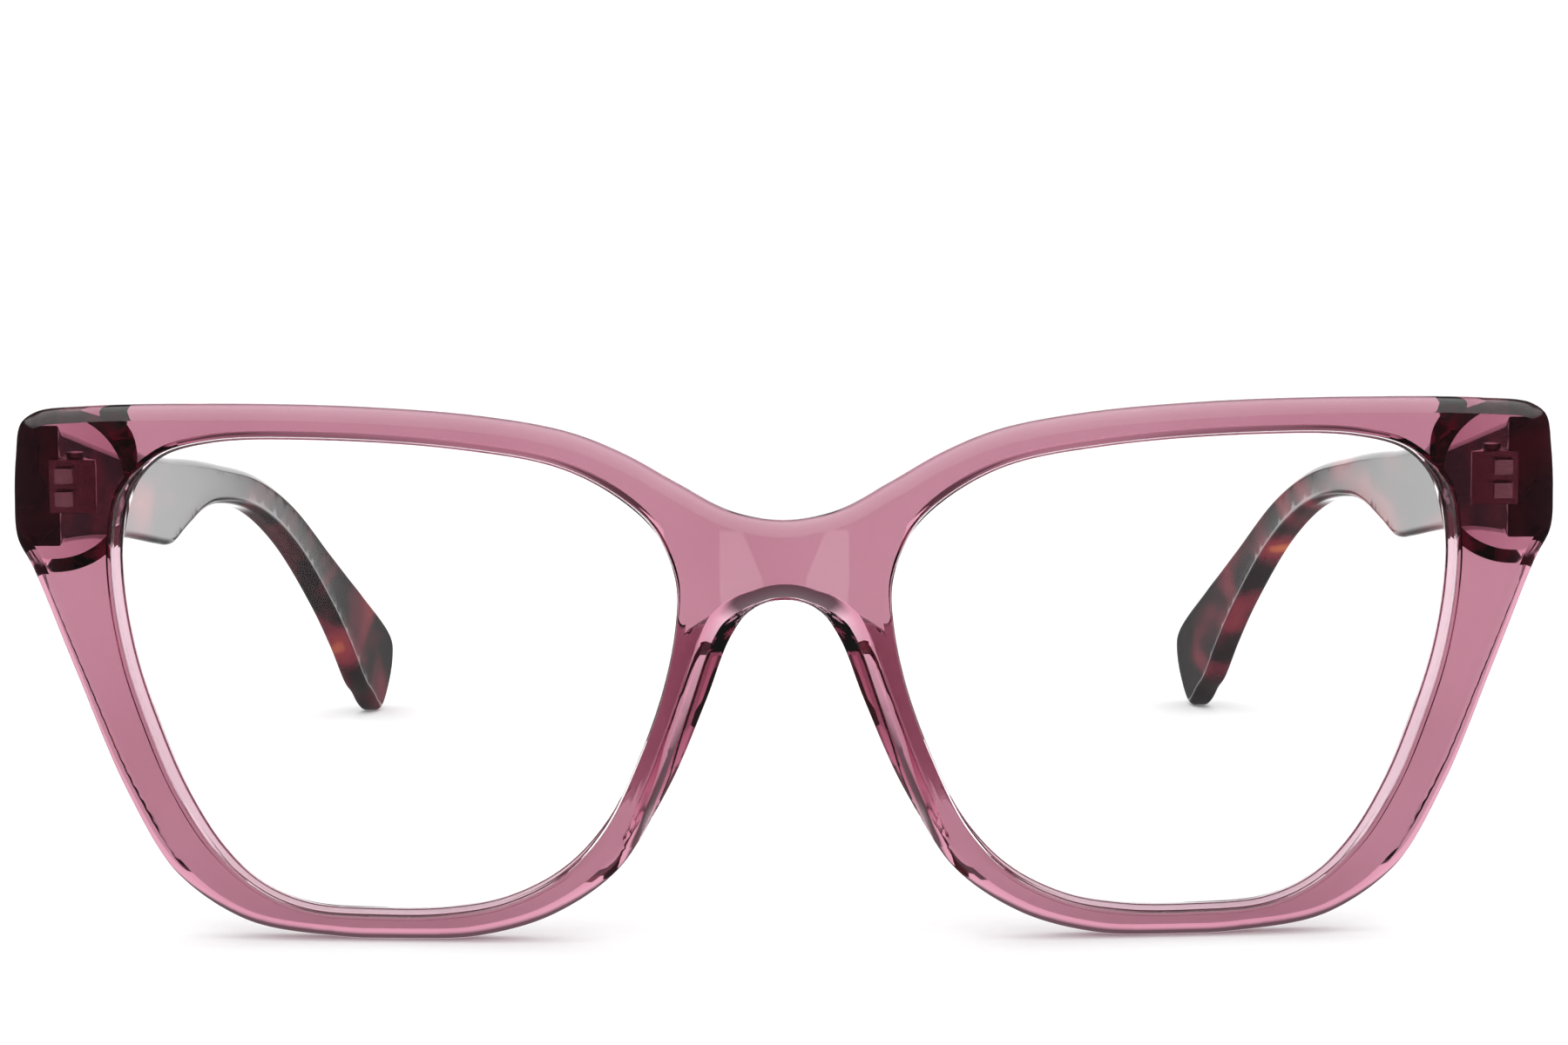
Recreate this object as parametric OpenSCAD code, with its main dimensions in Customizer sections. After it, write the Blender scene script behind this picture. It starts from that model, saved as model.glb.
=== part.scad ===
// Butterfly spectacles: a wrapped plum acetate front with two clear lenses and built-up nose pads,
// carried on two barrel hinges by slim tortoise temples that fold behind the front.
// The front faces -Y, the temples run towards +Y, and the spectacles stand on the table at z = 0
// on the feet of both rims and the tips of both temples. Left is -X, as one looks at the front.

/* [Front] */
// Width of one lens opening
lens_w = 51.9; // [48:0.1:58]
// Height of one lens opening
lens_h = 44.3; // [41:0.1:49]
// Gap between the two lens openings
bridge_gap = 20.2; // [18:0.1:24]
// From a lens opening's outer edge to the side of the front
end_w = 10.2; // [9.4:0.1:13]
// Height of the rim under a lens
foot_rim = 2.8; // [2:0.1:4]
// Height of the rim over a lens
brow_rim = 3.4; // [2.6:0.1:5]
// Thickness of the rims
rim_t = 4; // [3.6:0.1:5]
// Radius of the front's wrap, seen from above
wrap_r = 450; // [300:10:900]
// Thickness of the end piece at the side of the front
end_t = 4.4; // [4.2:0.1:6]
// From the side of the front to the inner edge of the hinge boss
boss_w = 9.2; // [8.2:0.1:9.6]
// From the side of the front to the middle of the boss's round edge
boss_mid = 3.1; // [2.8:0.1:3.4]

/* [Lenses] */
// Thickness of a lens
lens_t = 1.6; // [1.2:0.1:2]
// How far a lens reaches into its groove
lens_bite = 0.5; // [0.3:0.05:0.7]
// From the rim's front face to the lens
lens_set = 0.9; // [0.7:0.1:1.2]
// Clearance round a lens in its groove
lens_gap = 0.05; // [0.03:0.01:0.1]

/* [Nose pads] */
// How far a pad stands behind the rim
pad_back = 6.4; // [4:0.1:8]
// How far a pad flares outwards at its back edge
pad_flare = 5.2; // [3:0.1:6]
// Thickness of a pad's back edge
pad_edge = 1.5; // [1:0.1:2.2]
// Width of the slanted flank that runs from the front face to a pad
flank_w = 2.4; // [1:0.1:2.6]
// From the edge of the nose arch to a pad
pad_shy = 0.15; // [0.1:0.05:0.3]
// Least thickness of a pad where it meets the rim
pad_root = 0.8; // [0.6:0.1:1.2]
// Glue line between a pad and its rim
glue_gap = 0.02; // [0.01:0.01:0.05]

/* [Hinges] */
// Height of the hinge barrel
barrel_h = 5; // [4:0.1:6]
// Radius of the barrel's knuckles
knuckle_r = 1.1; // [1:0.05:1.2]
// Radius of the hinge screw's shank
screw_r = 0.6; // [0.45:0.05:0.7]
// Radial clearance of the screw in the temple's knuckles
screw_gap = 0.04; // [0.02:0.01:0.08]
// Height of the screw's head
head_h = 0.55; // [0.4:0.05:0.8]
// Width of the slot in the screw's head
slot_w = 0.3; // [0.2:0.05:0.4]
// Depth of the slot in the screw's head
slot_d = 0.25; // [0.15:0.05:0.3]
// How far the knuckles stand clear of both leaves
axis_clear = 0.2; // [0.15:0.05:0.3]
// Vertical gap between two knuckles
knuckle_gap = 0.06; // [0.04:0.01:0.12]
// Thickness of both leaves
leaf_t = 0.7; // [0.5:0.05:0.9]
// How far the temple leaf stands proud of the temple's inner face
leaf_proud = 0.1; // [0.05:0.05:0.15]
// Width of the front leaf
front_leaf_w = 4.4; // [3.8:0.1:4.8]
// From the hinge's axis to the outboard side of the front leaf
front_leaf_out = 2.4; // [2.1:0.1:2.6]
// Length of the temple leaf
temple_leaf_l = 7; // [5:0.1:10]
// From the temple's butt end to its leaf
leaf_start = 1.2; // [0.9:0.1:1.5]
// Width of an anchor sunk into the front
anchor_w = 1.7; // [1.2:0.1:2]
// Height of an anchor sunk into the front
anchor_h = 1.4; // [1:0.1:1.6]
// Depth of an anchor behind its leaf
anchor_d = 2; // [1:0.1:2.2]
// Distance between the middles of the two anchors
anchor_pitch = 2.2; // [1.9:0.1:2.6]
// From the hinge's axis to the inboard side of the anchors
anchor_set = 0.1; // [0:0.05:0.3]
// Radius of a stud sunk into the temple
stud_r = 0.55; // [0.4:0.05:0.7]
// Depth of a stud behind its leaf
stud_d = 1.4; // [0.8:0.1:1.6]
// Clearance of the leaves and anchors in the acetate
seat_gap = 0.03; // [0.02:0.01:0.06]
// Gap between a temple's butt end and the end piece
butt_gap = 0.1; // [0.05:0.01:0.3]

/* [Temples] */
// Thickness of a temple at its butt end
temple_t = 3.2; // [3:0.1:4]
// Thickness of a temple at its tip
tip_t = 2.6; // [2.2:0.1:3]
// How far a temple's outer face lies inside the side of the front
temple_inset = 1; // [0:0.1:1.4]
// Reach of a temple behind the end piece
temple_reach = 137.6; // [125:0.1:150]
// Height of the butt end
butt_h = 11.4; // [10:0.1:12]
// Height of the wide front part at its step
wide_h = 9.2; // [8:0.1:10.5]
// Height of the slim stem
stem_h = 4.1; // [3.4:0.1:5.5]
// Upright height of the drooping paddle where its tip starts
paddle_h = 11.4; // [9:0.1:13]
// From the top of the front down to the top of the butt end
butt_down = 2.3; // [1.6:0.1:3.2]
// Angle at which a temple leans inwards at its hinge
splay = 6.2; // [3:0.1:9]
// Radius of a temple's bow, seen from above
bow_r = 1950; // [1200:50:3000]

/* [Core wires] */
// Height of the wire inside a temple
core_h = 1.3; // [0.9:0.1:1.6]
// Thickness of the wire inside a temple
core_t = 1; // [0.7:0.1:1.2]
// Acetate between the wire and the temple's inner face
core_in = 0.8; // [0.6:0.1:1]
// Clearance of the wire in the acetate
core_gap = 0.03; // [0.02:0.01:0.08]

/* [Hidden] */

LEFT = -1;
RIGHT = 1;
// Straight pieces between two chosen points of a curve
steps = 4;
wrap_fn = 360;
bow_fn = 720;
bore_fn = 48;
boss_fn = 96;
// Overshoot of a cutting solid
cut = 1;
// Overlap of two joined solids, and the least overshoot of a cut
hair = 0.02;

half_w = bridge_gap / 2 + lens_w + end_w;
front_h = foot_rim + lens_h + brow_rim;

// Depth of the wrapped face at x, for a face that lies t behind the front face
function wrap_y(x, t = 0) = wrap_r - sqrt(pow(wrap_r - t, 2) - x * x);

// The flat face behind the end pieces, where the temples meet the front
seat_y = wrap_y(half_w) + end_t;
butt_y = seat_y + butt_gap;
depth = butt_y + temple_reach;
butt_top = front_h - butt_down;
hinge_z = butt_top - butt_h / 2;
inner_x = half_w - temple_inset - temple_t;
boss_x = half_w - boss_mid;
boss_r = boss_w - boss_mid;

// From the hinge's axis to both leaves
axis_off = knuckle_r + axis_clear;
axis_x = inner_x - (axis_off * (1 + sin(splay)) + leaf_proud) / cos(splay);
axis_y = seat_y + axis_off;
knuckles = 5;
knuckle_h = barrel_h / knuckles;
// Shares of the temple leaf's length at which its two studs stand
STUDS = [0.3, 0.8];

// Shares of the opening's width, from the nose outwards, and of its height
OPENING = [
    [0.65, 1], [0.835, 0.993], [0.928, 0.96], [0.981, 0.888], [1, 0.79], [0.999, 0.68],
    [0.978, 0.533], [0.94, 0.393], [0.89, 0.252], [0.825, 0.128], [0.757, 0.053], [0.672, 0.011],
    [0.54, 0], [0.415, 0.004], [0.31, 0.028], [0.207, 0.091], [0.127, 0.193], [0.067, 0.335],
    [0.023, 0.48], [0.001, 0.613], [0, 0.706], [0.03, 0.795], [0.095, 0.871], [0.205, 0.94], [0.386, 0.98]];

// Shares of half the front's width and of its height, from the bridge's top round to the nose arch
BROW = [
    [0.069, 0.802], [0.136, 0.853], [0.203, 0.907], [0.277, 0.949], [0.388, 0.978], [0.555, 0.996],
    [0.749, 1], [0.908, 0.994], [0.972, 0.983], [0.99, 0.962], [0.997, 0.903], [1, 0.82],
    [0.997, 0.749], [0.977, 0.693], [0.923, 0.499], [0.858, 0.273], [0.792, 0.117], [0.706, 0.032],
    [0.585, 0.003], [0.485, 0], [0.402, 0.006], [0.305, 0.046], [0.222, 0.129]];
BRIDGE_TOP = 0.784;

// The nose arch: shares of half the gap between the openings, and of the front's height
NOSE = [[1.099, 0.277], [0.733, 0.444], [0.505, 0.562], [0.317, 0.612]];
NOSE_TOP = 0.633;

function along(a, b, t) = a * (1 - t) + b * t;
function apart(a, b) = max(sqrt(norm(b - a)), 0.0001);

// A point between b and c of a smooth curve through a, b, c and d
function bend_point(a, b, c, d, t) =
    let (t1 = apart(a, b))
    let (t2 = t1 + apart(b, c))
    let (t3 = t2 + apart(c, d))
    let (u = along(t1, t2, t))
    let (p = along(a, b, u / t1))
    let (q = along(b, c, (u - t1) / (t2 - t1)))
    let (r = along(c, d, (u - t2) / (t3 - t2)))
    along(along(p, q, u / t2), along(q, r, (u - t1) / (t3 - t1)), (u - t1) / (t2 - t1));

// A smooth closed curve through points
function smooth_loop(points) =
    let (n = len(points))
    [for (i = [0:n - 1]) for (k = [0:steps - 1])
        bend_point(points[(i + n - 1) % n], points[i], points[(i + 1) % n], points[(i + 2) % n], k / steps)];

// A smooth open curve through points, ends included
function smooth_path(points) =
    let (n = len(points))
    let (whole = concat([2 * points[0] - points[1]], points, [2 * points[n - 1] - points[n - 2]]))
    concat([for (i = [1:n - 1]) for (k = [0:steps - 1])
        bend_point(whole[i - 1], whole[i], whole[i + 1], whole[i + 2], k / steps)], [points[n - 1]]);

function mirrored(points) = [for (i = [len(points) - 1:-1:0]) [-points[i][0], points[i][1]]];

// A clockwise loop moved outwards by d along its normals
function grown(loop, d) =
    let (n = len(loop))
    [for (i = [0:n - 1])
        let (way = loop[(i + 1) % n] - loop[(i + n - 1) % n])
        loop[i] + d * [-way[1], way[0]] / norm(way)];

opening = smooth_loop([for (p = OPENING) [bridge_gap / 2 + p[0] * lens_w, foot_rim + p[1] * lens_h]]);
nose_half = [for (p = NOSE) [p[0] * bridge_gap / 2, p[1] * front_h]];
brow_half = [for (p = BROW) [p[0] * half_w, p[1] * front_h]];
side_points = concat(brow_half, nose_half);
front_points = concat([[0, BRIDGE_TOP * front_h]], side_points,
    [[0, NOSE_TOP * front_h]], mirrored(side_points));
front_outline = [for (p = smooth_loop(front_points)) [p[0], max(p[1], 0)]];

// The nose arch's own curve, from the right rim over the arch to the left rim
arch_points = concat([[0.222 * half_w, 0.129 * front_h]], nose_half, [[0, NOSE_TOP * front_h]]);
arch_half = smooth_path(arch_points);

// Distance of the nose arch from the middle at height z
function arch_x(z) = lookup(z, [for (p = arch_half) [p[1], p[0]]]);

// Distance of the opening's nose side from the middle at height z
nose_side = [for (p = opening) if (p[0] < bridge_gap / 2 + lens_w * 0.3) p];
nose_low = foot_rim + lens_h * 0.12;
nose_high = foot_rim + lens_h * 0.72;
nose_side_up = [for (p = nose_side) if (p[1] > nose_low && p[1] < nose_high) p];
function opening_x(z) = lookup(z, [for (p = nose_side_up) [p[1], p[0]]]);

// Puts the origin under the middle of the whole
module placed() {
    translate([0, -depth / 2, 0]) children();
}

// Repeats the right side's shape on the named side
module on_side(side) {
    placed() mirror([side < 0 ? 1 : 0, 0, 0]) children();
}

// A face outline in X and Z, drawn out in Y from y0 to y1
module drawn_back(y0, y1) {
    translate([0, y1, 0]) rotate([90, 0, 0]) linear_extrude(height = y1 - y0) children();
}

// A side outline in Y and Z, drawn out in X from x0 to x1
module drawn_across(x0, x1) {
    translate([x0, 0, 0]) rotate([90, 0, 90]) linear_extrude(height = x1 - x0) children();
}

// Everything behind the wrapped face that lies t behind the front face
module behind_wrap(t) {
    translate([0, wrap_r, -cut]) cylinder(r = wrap_r - t, h = front_h + 2 * cut, $fn = wrap_fn);
}

// The wrapped layer between t0 and t1 behind the front face
module wrapped_layer(t0, t1) {
    difference() {
        behind_wrap(t0);
        behind_wrap(t1);
    }
}

// The flanks' foot and head as shares of the front's height, and the number of levels between them
FLANK_LOW = 0.2;
FLANK_HIGH = 0.6;
flank_levels = 8;
// Levels over which a flank fades in from its foot
flank_fade = 3;

// The slanted flanks at the nose, as the solid that is cut away from the front
module flank_cut() {
    levels = [for (i = [0:flank_levels]) along(FLANK_LOW, FLANK_HIGH, i / flank_levels) * front_h];
    function wide(i) = flank_w * min(1, i / flank_fade);
    front_right = [for (i = [0:flank_levels]) [arch_x(levels[i]) + wide(i), levels[i]]];
    back_right = [for (z = levels) [arch_x(z) - hair, z]];
    crown = NOSE_TOP * front_h;
    front_face = concat(front_right, [[0, crown + flank_w / 3]], mirrored(front_right));
    back_face = concat(back_right, [[0, crown - hair]], mirrored(back_right));
    n = len(front_face);
    back_y = wrap_y(arch_x(levels[0]), rim_t);
    points = concat([for (p = front_face) [p[0], -hair, p[1]]], [for (p = back_face) [p[0], back_y, p[1]]]);
    sides = [for (i = [0:n - 1]) for (half = [0, 1])
        let (j = (i + 1) % n)
        half == 0 ? [i, j, n + j] : [i, n + j, n + i]];
    polyhedron(points = points, faces = concat([[for (i = [n - 1:-1:0]) i]], sides,
        [[for (i = [0:n - 1]) n + i]]), convexity = 6);
}

// The end piece's boss, flat behind, that carries the hinge and meets the temple
module end_boss() {
    intersection() {
        drawn_back(0, seat_y) polygon(front_outline);
        behind_wrap(0);
        union() {
            translate([boss_x, seat_y, hinge_z]) rotate([90, 0, 0])
                cylinder(r = boss_r, h = seat_y, $fn = boss_fn);
            translate([boss_x, 0, hinge_z - boss_r]) cube([half_w - boss_x + cut, seat_y, front_h]);
        }
    }
}

// The front leaf's plate and anchors, fatter by gap
module front_leaf_body(gap) {
    translate([axis_x + front_leaf_out - front_leaf_w - gap, seat_y - leaf_t - gap,
        hinge_z - barrel_h / 2 - gap])
        cube([front_leaf_w + 2 * gap, leaf_t + (gap > 0 ? gap + cut : 0), barrel_h + 2 * gap]);
    for (level = [-0.5, 0.5])
        translate([axis_x + anchor_set - gap, seat_y - leaf_t - anchor_d - gap,
            hinge_z + level * anchor_pitch - anchor_h / 2 - gap])
            cube([anchor_w + 2 * gap, anchor_d + hair + 2 * gap, anchor_h + 2 * gap]);
}

module front_frame() {
    color("#b8758f") placed() difference() {
        union() {
            intersection() {
                drawn_back(0, wrap_y(half_w, rim_t) + cut) polygon(front_outline);
                wrapped_layer(0, rim_t);
            }
            end_boss();
            mirror([1, 0, 0]) end_boss();
        }
        for (turn = [0, 1])
            mirror([turn, 0, 0]) {
                drawn_back(-cut, seat_y + cut) polygon(opening);
                intersection() {
                    drawn_back(0, seat_y) polygon(grown(opening, lens_bite + lens_gap));
                    wrapped_layer(lens_set - lens_gap, lens_set + lens_t + lens_gap);
                }
                front_leaf_body(seat_gap);
            }
        flank_cut();
    }
}

module lens(side) {
    color("#e4eef2", 0.3) on_side(side) intersection() {
        drawn_back(0, seat_y) polygon(grown(opening, lens_bite));
        wrapped_layer(lens_set, lens_set + lens_t);
    }
}

// A pad's foot and head as shares of the front's height, and the number of levels between them
PAD_LOW = 0.235;
PAD_HIGH = 0.6;
pad_levels = 12;
// Share of a pad's reach that is left at its foot and its head
PAD_ENDS = 0.12;

// One level of a pad, seen from above, as a ring of points from its root on the rim's nose edge
function pad_ring(z, swell) =
    let (x0 = arch_x(z))
    let (root = max(opening_x(z) - x0 - 2 * lens_bite, pad_root))
    let (back = pad_back * swell)
    let (out = pad_flare * swell)
    [for (p = [[pad_shy, 0], [root * 0.5, 0], [root, 0], [max(root, out * 0.6) + pad_edge * 0.2, back * 0.4],
        [out + pad_edge * 0.7, back * 0.82], [out + pad_edge * 0.6, back], [out - pad_edge * 0.4, back],
        [out * 0.5, back * 0.62], [out * 0.12, back * 0.26]])
        [x0 + p[0], wrap_y(x0 + p[0], rim_t) + glue_gap + p[1], z]];

// A built-up acetate pad, glued to the back of a rim, that flares towards the face
module nose_pad(side) {
    levels = pad_levels;
    rings = [for (k = [0:levels])
        pad_ring(along(PAD_LOW, PAD_HIGH, k / levels) * front_h, along(PAD_ENDS, 1, sin(180 * k / levels)))];
    per = len(rings[0]);
    points = [for (ring = rings) for (p = ring) p];
    walls = [for (k = [0:levels - 1]) for (i = [0:per - 1]) for (half = [0, 1])
        let (j = (i + 1) % per)
        let (a = k * per)
        half == 0 ? [a + i, a + per + i, a + per + j] : [a + i, a + per + j, a + j]];
    color("#8c4664") on_side(side)
        polyhedron(points = points, faces = concat([[for (i = [0:per - 1]) i]], walls,
            [[for (i = [per - 1:-1:0]) levels * per + i]]), convexity = 4);
}

// The level at which knuckle i starts
function knuckle_z(i) = hinge_z - barrel_h / 2 + i * knuckle_h + knuckle_gap / 2;

// Every second knuckle from the given one, round and drilled at the hinge's axis
module knuckle_stack(first, bore) {
    difference() {
        union() {
            for (i = [first:2:knuckles - 1])
                translate([axis_x, axis_y, knuckle_z(i)]) {
                    cylinder(r = knuckle_r, h = knuckle_h - knuckle_gap, $fn = bore_fn);
                    children();
                }
        }
        translate([axis_x, axis_y, hinge_z - barrel_h]) cylinder(r = bore, h = 2 * barrel_h, $fn = bore_fn);
    }
}

// The leaf sunk into the end piece, with two anchors and two knuckles
module front_hinge(side) {
    color("#b9b6ae") on_side(side) {
        front_leaf_body(0);
        knuckle_stack(1, screw_r + screw_gap / 2)
            translate([-knuckle_r, -axis_off - leaf_t / 2, 0])
                cube([2 * knuckle_r, axis_off + leaf_t / 2, knuckle_h - knuckle_gap]);
    }
}

// The temple's own directions: Y along its inner face from the butt end, X outwards
module temple_frame() {
    translate([inner_x, seat_y, 0]) rotate([0, 0, splay]) children();
}

// The temple leaf's plate and studs, fatter by gap
module temple_leaf_body(gap) {
    temple_frame() {
        translate([-leaf_proud - (gap > 0 ? cut : 0), leaf_start - gap, hinge_z - barrel_h / 2 - gap])
            cube([leaf_t + gap + (gap > 0 ? cut : 0), temple_leaf_l + 2 * gap, barrel_h + 2 * gap]);
        for (far = STUDS)
            translate([leaf_t - leaf_proud - hair, leaf_start + far * temple_leaf_l, hinge_z])
                rotate([0, 90, 0]) cylinder(r = stud_r + gap, h = stud_d + gap, $fn = bore_fn);
    }
}

// The leaf on the temple's inner face, with two studs and three knuckles
module temple_hinge(side) {
    color("#b9b6ae") on_side(side) {
        temple_leaf_body(0);
        knuckle_stack(0, screw_r + screw_gap)
            rotate([0, 0, splay]) cube([axis_off + leaf_t / 2, knuckle_r + leaf_t, knuckle_h - knuckle_gap]);
    }
}

// The slotted screw that pins the two leaves
module hinge_screw(side) {
    color("#d8d5cc") on_side(side) translate([axis_x, axis_y, hinge_z + barrel_h / 2 + knuckle_gap / 2])
        difference() {
            union() {
                translate([0, 0, -barrel_h]) cylinder(r = screw_r, h = barrel_h + hair, $fn = bore_fn);
                cylinder(r = (knuckle_r + screw_r) / 2, h = head_h, $fn = bore_fn);
            }
            translate([-knuckle_r, -slot_w / 2, head_h - slot_d]) cube([2 * knuckle_r, slot_w, cut]);
        }
}

// The temple's side view: share of its reach, share of the butt's top, and height there
TEMPLE = [
    [0, 1, butt_h], [0.087, 0.956, (butt_h + wide_h) / 2], [0.177, 0.909, wide_h * 1.02],
    [0.278, 0.856, wide_h], [0.304, 0.844, wide_h], [0.316, 0.839, wide_h * 0.98],
    [0.342, 0.83, along(stem_h, wide_h, 0.75)], [0.37, 0.82, along(stem_h, wide_h, 0.53)],
    [0.4, 0.808, along(stem_h, wide_h, 0.3)], [0.448, 0.786, stem_h * 1.1], [0.565, 0.724, stem_h],
    [0.681, 0.617, stem_h * 1.22], [0.797, 0.462, along(stem_h, paddle_h, 0.4)],
    [0.855, 0.383, along(stem_h, paddle_h, 0.69)], [0.899, 0.323, paddle_h]];

// The tip's round: shares of the reach and of the butt's top
TIP = [
    [0.992, 0.182], [1, 0.146], [0.994, 0.086], [0.967, 0.012], [0.954, 0], [0.938, 0.018], [0.919, 0.055]];

function temple_point(reach, height) = [butt_y + reach * temple_reach, height];
temple_top = [for (row = TEMPLE) temple_point(row[0], row[1] * butt_top)];
temple_low = [for (i = [len(TEMPLE) - 1:-1:0])
    temple_point(TEMPLE[i][0], TEMPLE[i][1] * butt_top - TEMPLE[i][2])];
temple_tip = [for (p = TIP) temple_point(p[0], p[1] * butt_top)];
temple_outline = [for (p = smooth_path(concat(temple_top, temple_tip, temple_low))) [p[0], max(p[1], 0)]];

// Everything inboard of the bowed face that starts t outboard of the inner face and closes in by taper
module inboard_of(t, taper = 0) {
    temple_frame() translate([t, 0, -cut]) rotate([0, 0, taper]) translate([-bow_r, 0, 0])
        cylinder(r = bow_r, h = front_h + 2 * cut, $fn = bow_fn);
}

// The middle of the temple's height, behind the hinge and as far as the paddle
core_rows = [for (row = TEMPLE) if (row[0] > 0.08) row];
core_line = smooth_path([for (row = core_rows) temple_point(row[0], row[1] * butt_top - row[2] / 2)]);

// The wire along the middle of the temple, fatter by gap
module core_body(gap) {
    difference() {
        intersection() {
            inboard_of(core_in + core_t + gap);
            drawn_across(0, half_w) polygon(concat(
                [for (p = core_line) p + [0, core_h / 2 + gap]],
                [for (i = [len(core_line) - 1:-1:0]) core_line[i] - [0, core_h / 2 + gap]]));
        }
        inboard_of(core_in - gap);
    }
}

module temple(side) {
    color("#3a1a1c") on_side(side) difference() {
        intersection() {
            inboard_of(temple_t, atan((temple_t - tip_t) / temple_reach));
            drawn_across(0, half_w + cut) polygon(temple_outline);
        }
        inboard_of(0);
        temple_leaf_body(seat_gap);
        core_body(core_gap);
    }
}

module core_wire(side) {
    color("#c8c4ba") on_side(side) core_body(0);
}

front_frame();
nose_pad(LEFT);  // left_nose_pad
nose_pad(RIGHT);  // right_nose_pad
lens(LEFT);  // left_lens
lens(RIGHT);  // right_lens
front_hinge(LEFT);  // left_front_hinge
front_hinge(RIGHT);  // right_front_hinge
hinge_screw(LEFT);  // left_hinge_screw
hinge_screw(RIGHT);  // right_hinge_screw
temple_hinge(LEFT);  // left_temple_hinge
temple_hinge(RIGHT);  // right_temple_hinge
temple(LEFT);  // left_temple
temple(RIGHT);  // right_temple
core_wire(LEFT);  // left_core_wire
core_wire(RIGHT);  // right_core_wire
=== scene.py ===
"""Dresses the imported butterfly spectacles: crystal acetate front, lenses, tortoise temples and hinges.

Shapes are worked out in millimetres, in the part's own directions: X across, Y from the bridge's
front face towards the temple tips, Z up from the table. They become metres in the shared frame.
"""

import logging
import math
from dataclasses import dataclass
from enum import Enum
from typing import Callable, Sequence

import bmesh
import bpy
import numpy as np
from mathutils import Matrix, Vector
from mathutils.geometry import delaunay_2d_cdt


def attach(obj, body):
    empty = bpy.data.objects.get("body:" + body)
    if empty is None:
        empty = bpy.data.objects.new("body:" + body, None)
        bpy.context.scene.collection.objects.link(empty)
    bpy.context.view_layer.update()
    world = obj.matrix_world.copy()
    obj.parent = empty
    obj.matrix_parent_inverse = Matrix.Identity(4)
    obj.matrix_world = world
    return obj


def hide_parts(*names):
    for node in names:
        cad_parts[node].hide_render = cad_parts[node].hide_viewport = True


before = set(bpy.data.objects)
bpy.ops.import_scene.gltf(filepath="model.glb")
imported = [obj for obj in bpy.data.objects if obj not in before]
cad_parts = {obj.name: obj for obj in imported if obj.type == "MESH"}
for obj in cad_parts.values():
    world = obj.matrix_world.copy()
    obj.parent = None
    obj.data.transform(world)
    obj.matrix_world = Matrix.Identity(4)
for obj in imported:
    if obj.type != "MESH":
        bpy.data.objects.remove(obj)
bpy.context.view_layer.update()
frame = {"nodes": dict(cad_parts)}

LOG = logging.getLogger("spectacles")
MM = 0.001

Pairs = tuple[tuple[float, float], ...]
Sockets = dict[str, bpy.types.NodeSocket]


class Side(Enum):
    """The two sides of the spectacles, as one looks at the front."""

    LEFT = -1
    RIGHT = 1

    @property
    def word(self) -> str:
        """The side's name as it stands in the names of pieces and nodes."""
        return self.name.lower()


class Slot(Enum):
    """Material slots of the record."""

    PLUM = "plum_acetate"
    TORTOISE = "tortoise_acetate"
    LENS = "lens"
    HINGE = "hinge_metal"
    CORE = "core_steel"


def linear(hex_colour: str) -> tuple[float, float, float, float]:
    """Turns an sRGB hex colour into linear values.

    Args:
        hex_colour: Colour such as "#b47e95".

    Returns:
        Red, green, blue and an alpha of 1.
    """
    parts = [int(hex_colour[i:i + 2], 16) / 255 for i in (1, 3, 5)]
    red, green, blue = (p / 12.92 if p <= 0.04045 else ((p + 0.055) / 1.055) ** 2.4 for p in parts)
    return red, green, blue, 1.0


def add_node(tree: bpy.types.NodeTree, kind: str, settings: dict | None = None,
             links: dict | None = None, stops: Sequence[tuple[float, str]] = ()) -> bpy.types.Node:
    """Adds a shader node with its settings and links.

    Args:
        tree: Node tree that takes the node.
        kind: Blender's name of the node type.
        settings: Values by input name or number, or else by attribute name.
        links: Output sockets by the input that each of them feeds.
        stops: Position and sRGB hex colour of each stop of a colour ramp, in rising order.

    Returns:
        The new node.
    """
    node = tree.nodes.new(kind)
    for key, value in (settings or {}).items():
        if isinstance(key, int) or key in node.inputs:
            node.inputs[key].default_value = value
        else:
            setattr(node, key, value)
    for key, source in (links or {}).items():
        tree.links.new(source, node.inputs[key])
    if stops:
        elements = node.color_ramp.elements
        while len(elements) < len(stops):
            elements.new(1.0)
        for element, (position, hex_colour) in zip(elements, stops):
            element.position = position
            element.color = linear(hex_colour)
    return node


def smooth_curve(points: Sequence, steps: int, closed: bool) -> np.ndarray:
    """Runs a centripetal curve through points.

    Args:
        points: Points that the curve goes through.
        steps: Pieces between two neighbouring points.
        closed: Whether the curve returns to its first point.

    Returns:
        Points along the curve, one row each.
    """
    given = np.array(points, float)
    if closed:
        whole = np.concatenate([given[-1:], given, given[:2]])
    else:
        whole = np.concatenate([2 * given[:1] - given[1:2], given, 2 * given[-1:] - given[-2:-1]])
    share = np.arange(steps)[:, None] / steps
    pieces = []
    for a, b, c, d in zip(whole, whole[1:], whole[2:], whole[3:]):
        gaps = [math.sqrt(np.linalg.norm(way)) for way in (b - a, c - b, d - c)]
        t1, t2, t3 = np.cumsum(np.maximum(gaps, 1e-4))
        u = t1 + (t2 - t1) * share
        ab = a + (b - a) * u / t1
        bc = b + (c - b) * (u - t1) / (t2 - t1)
        cd = c + (d - c) * (u - t2) / (t3 - t2)
        low = ab + (bc - ab) * u / t2
        high = bc + (cd - bc) * (u - t1) / (t3 - t1)
        pieces.append(low + (high - low) * (u - t1) / (t2 - t1))
    return np.concatenate(pieces if closed else pieces + [given[-1:]])


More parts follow.
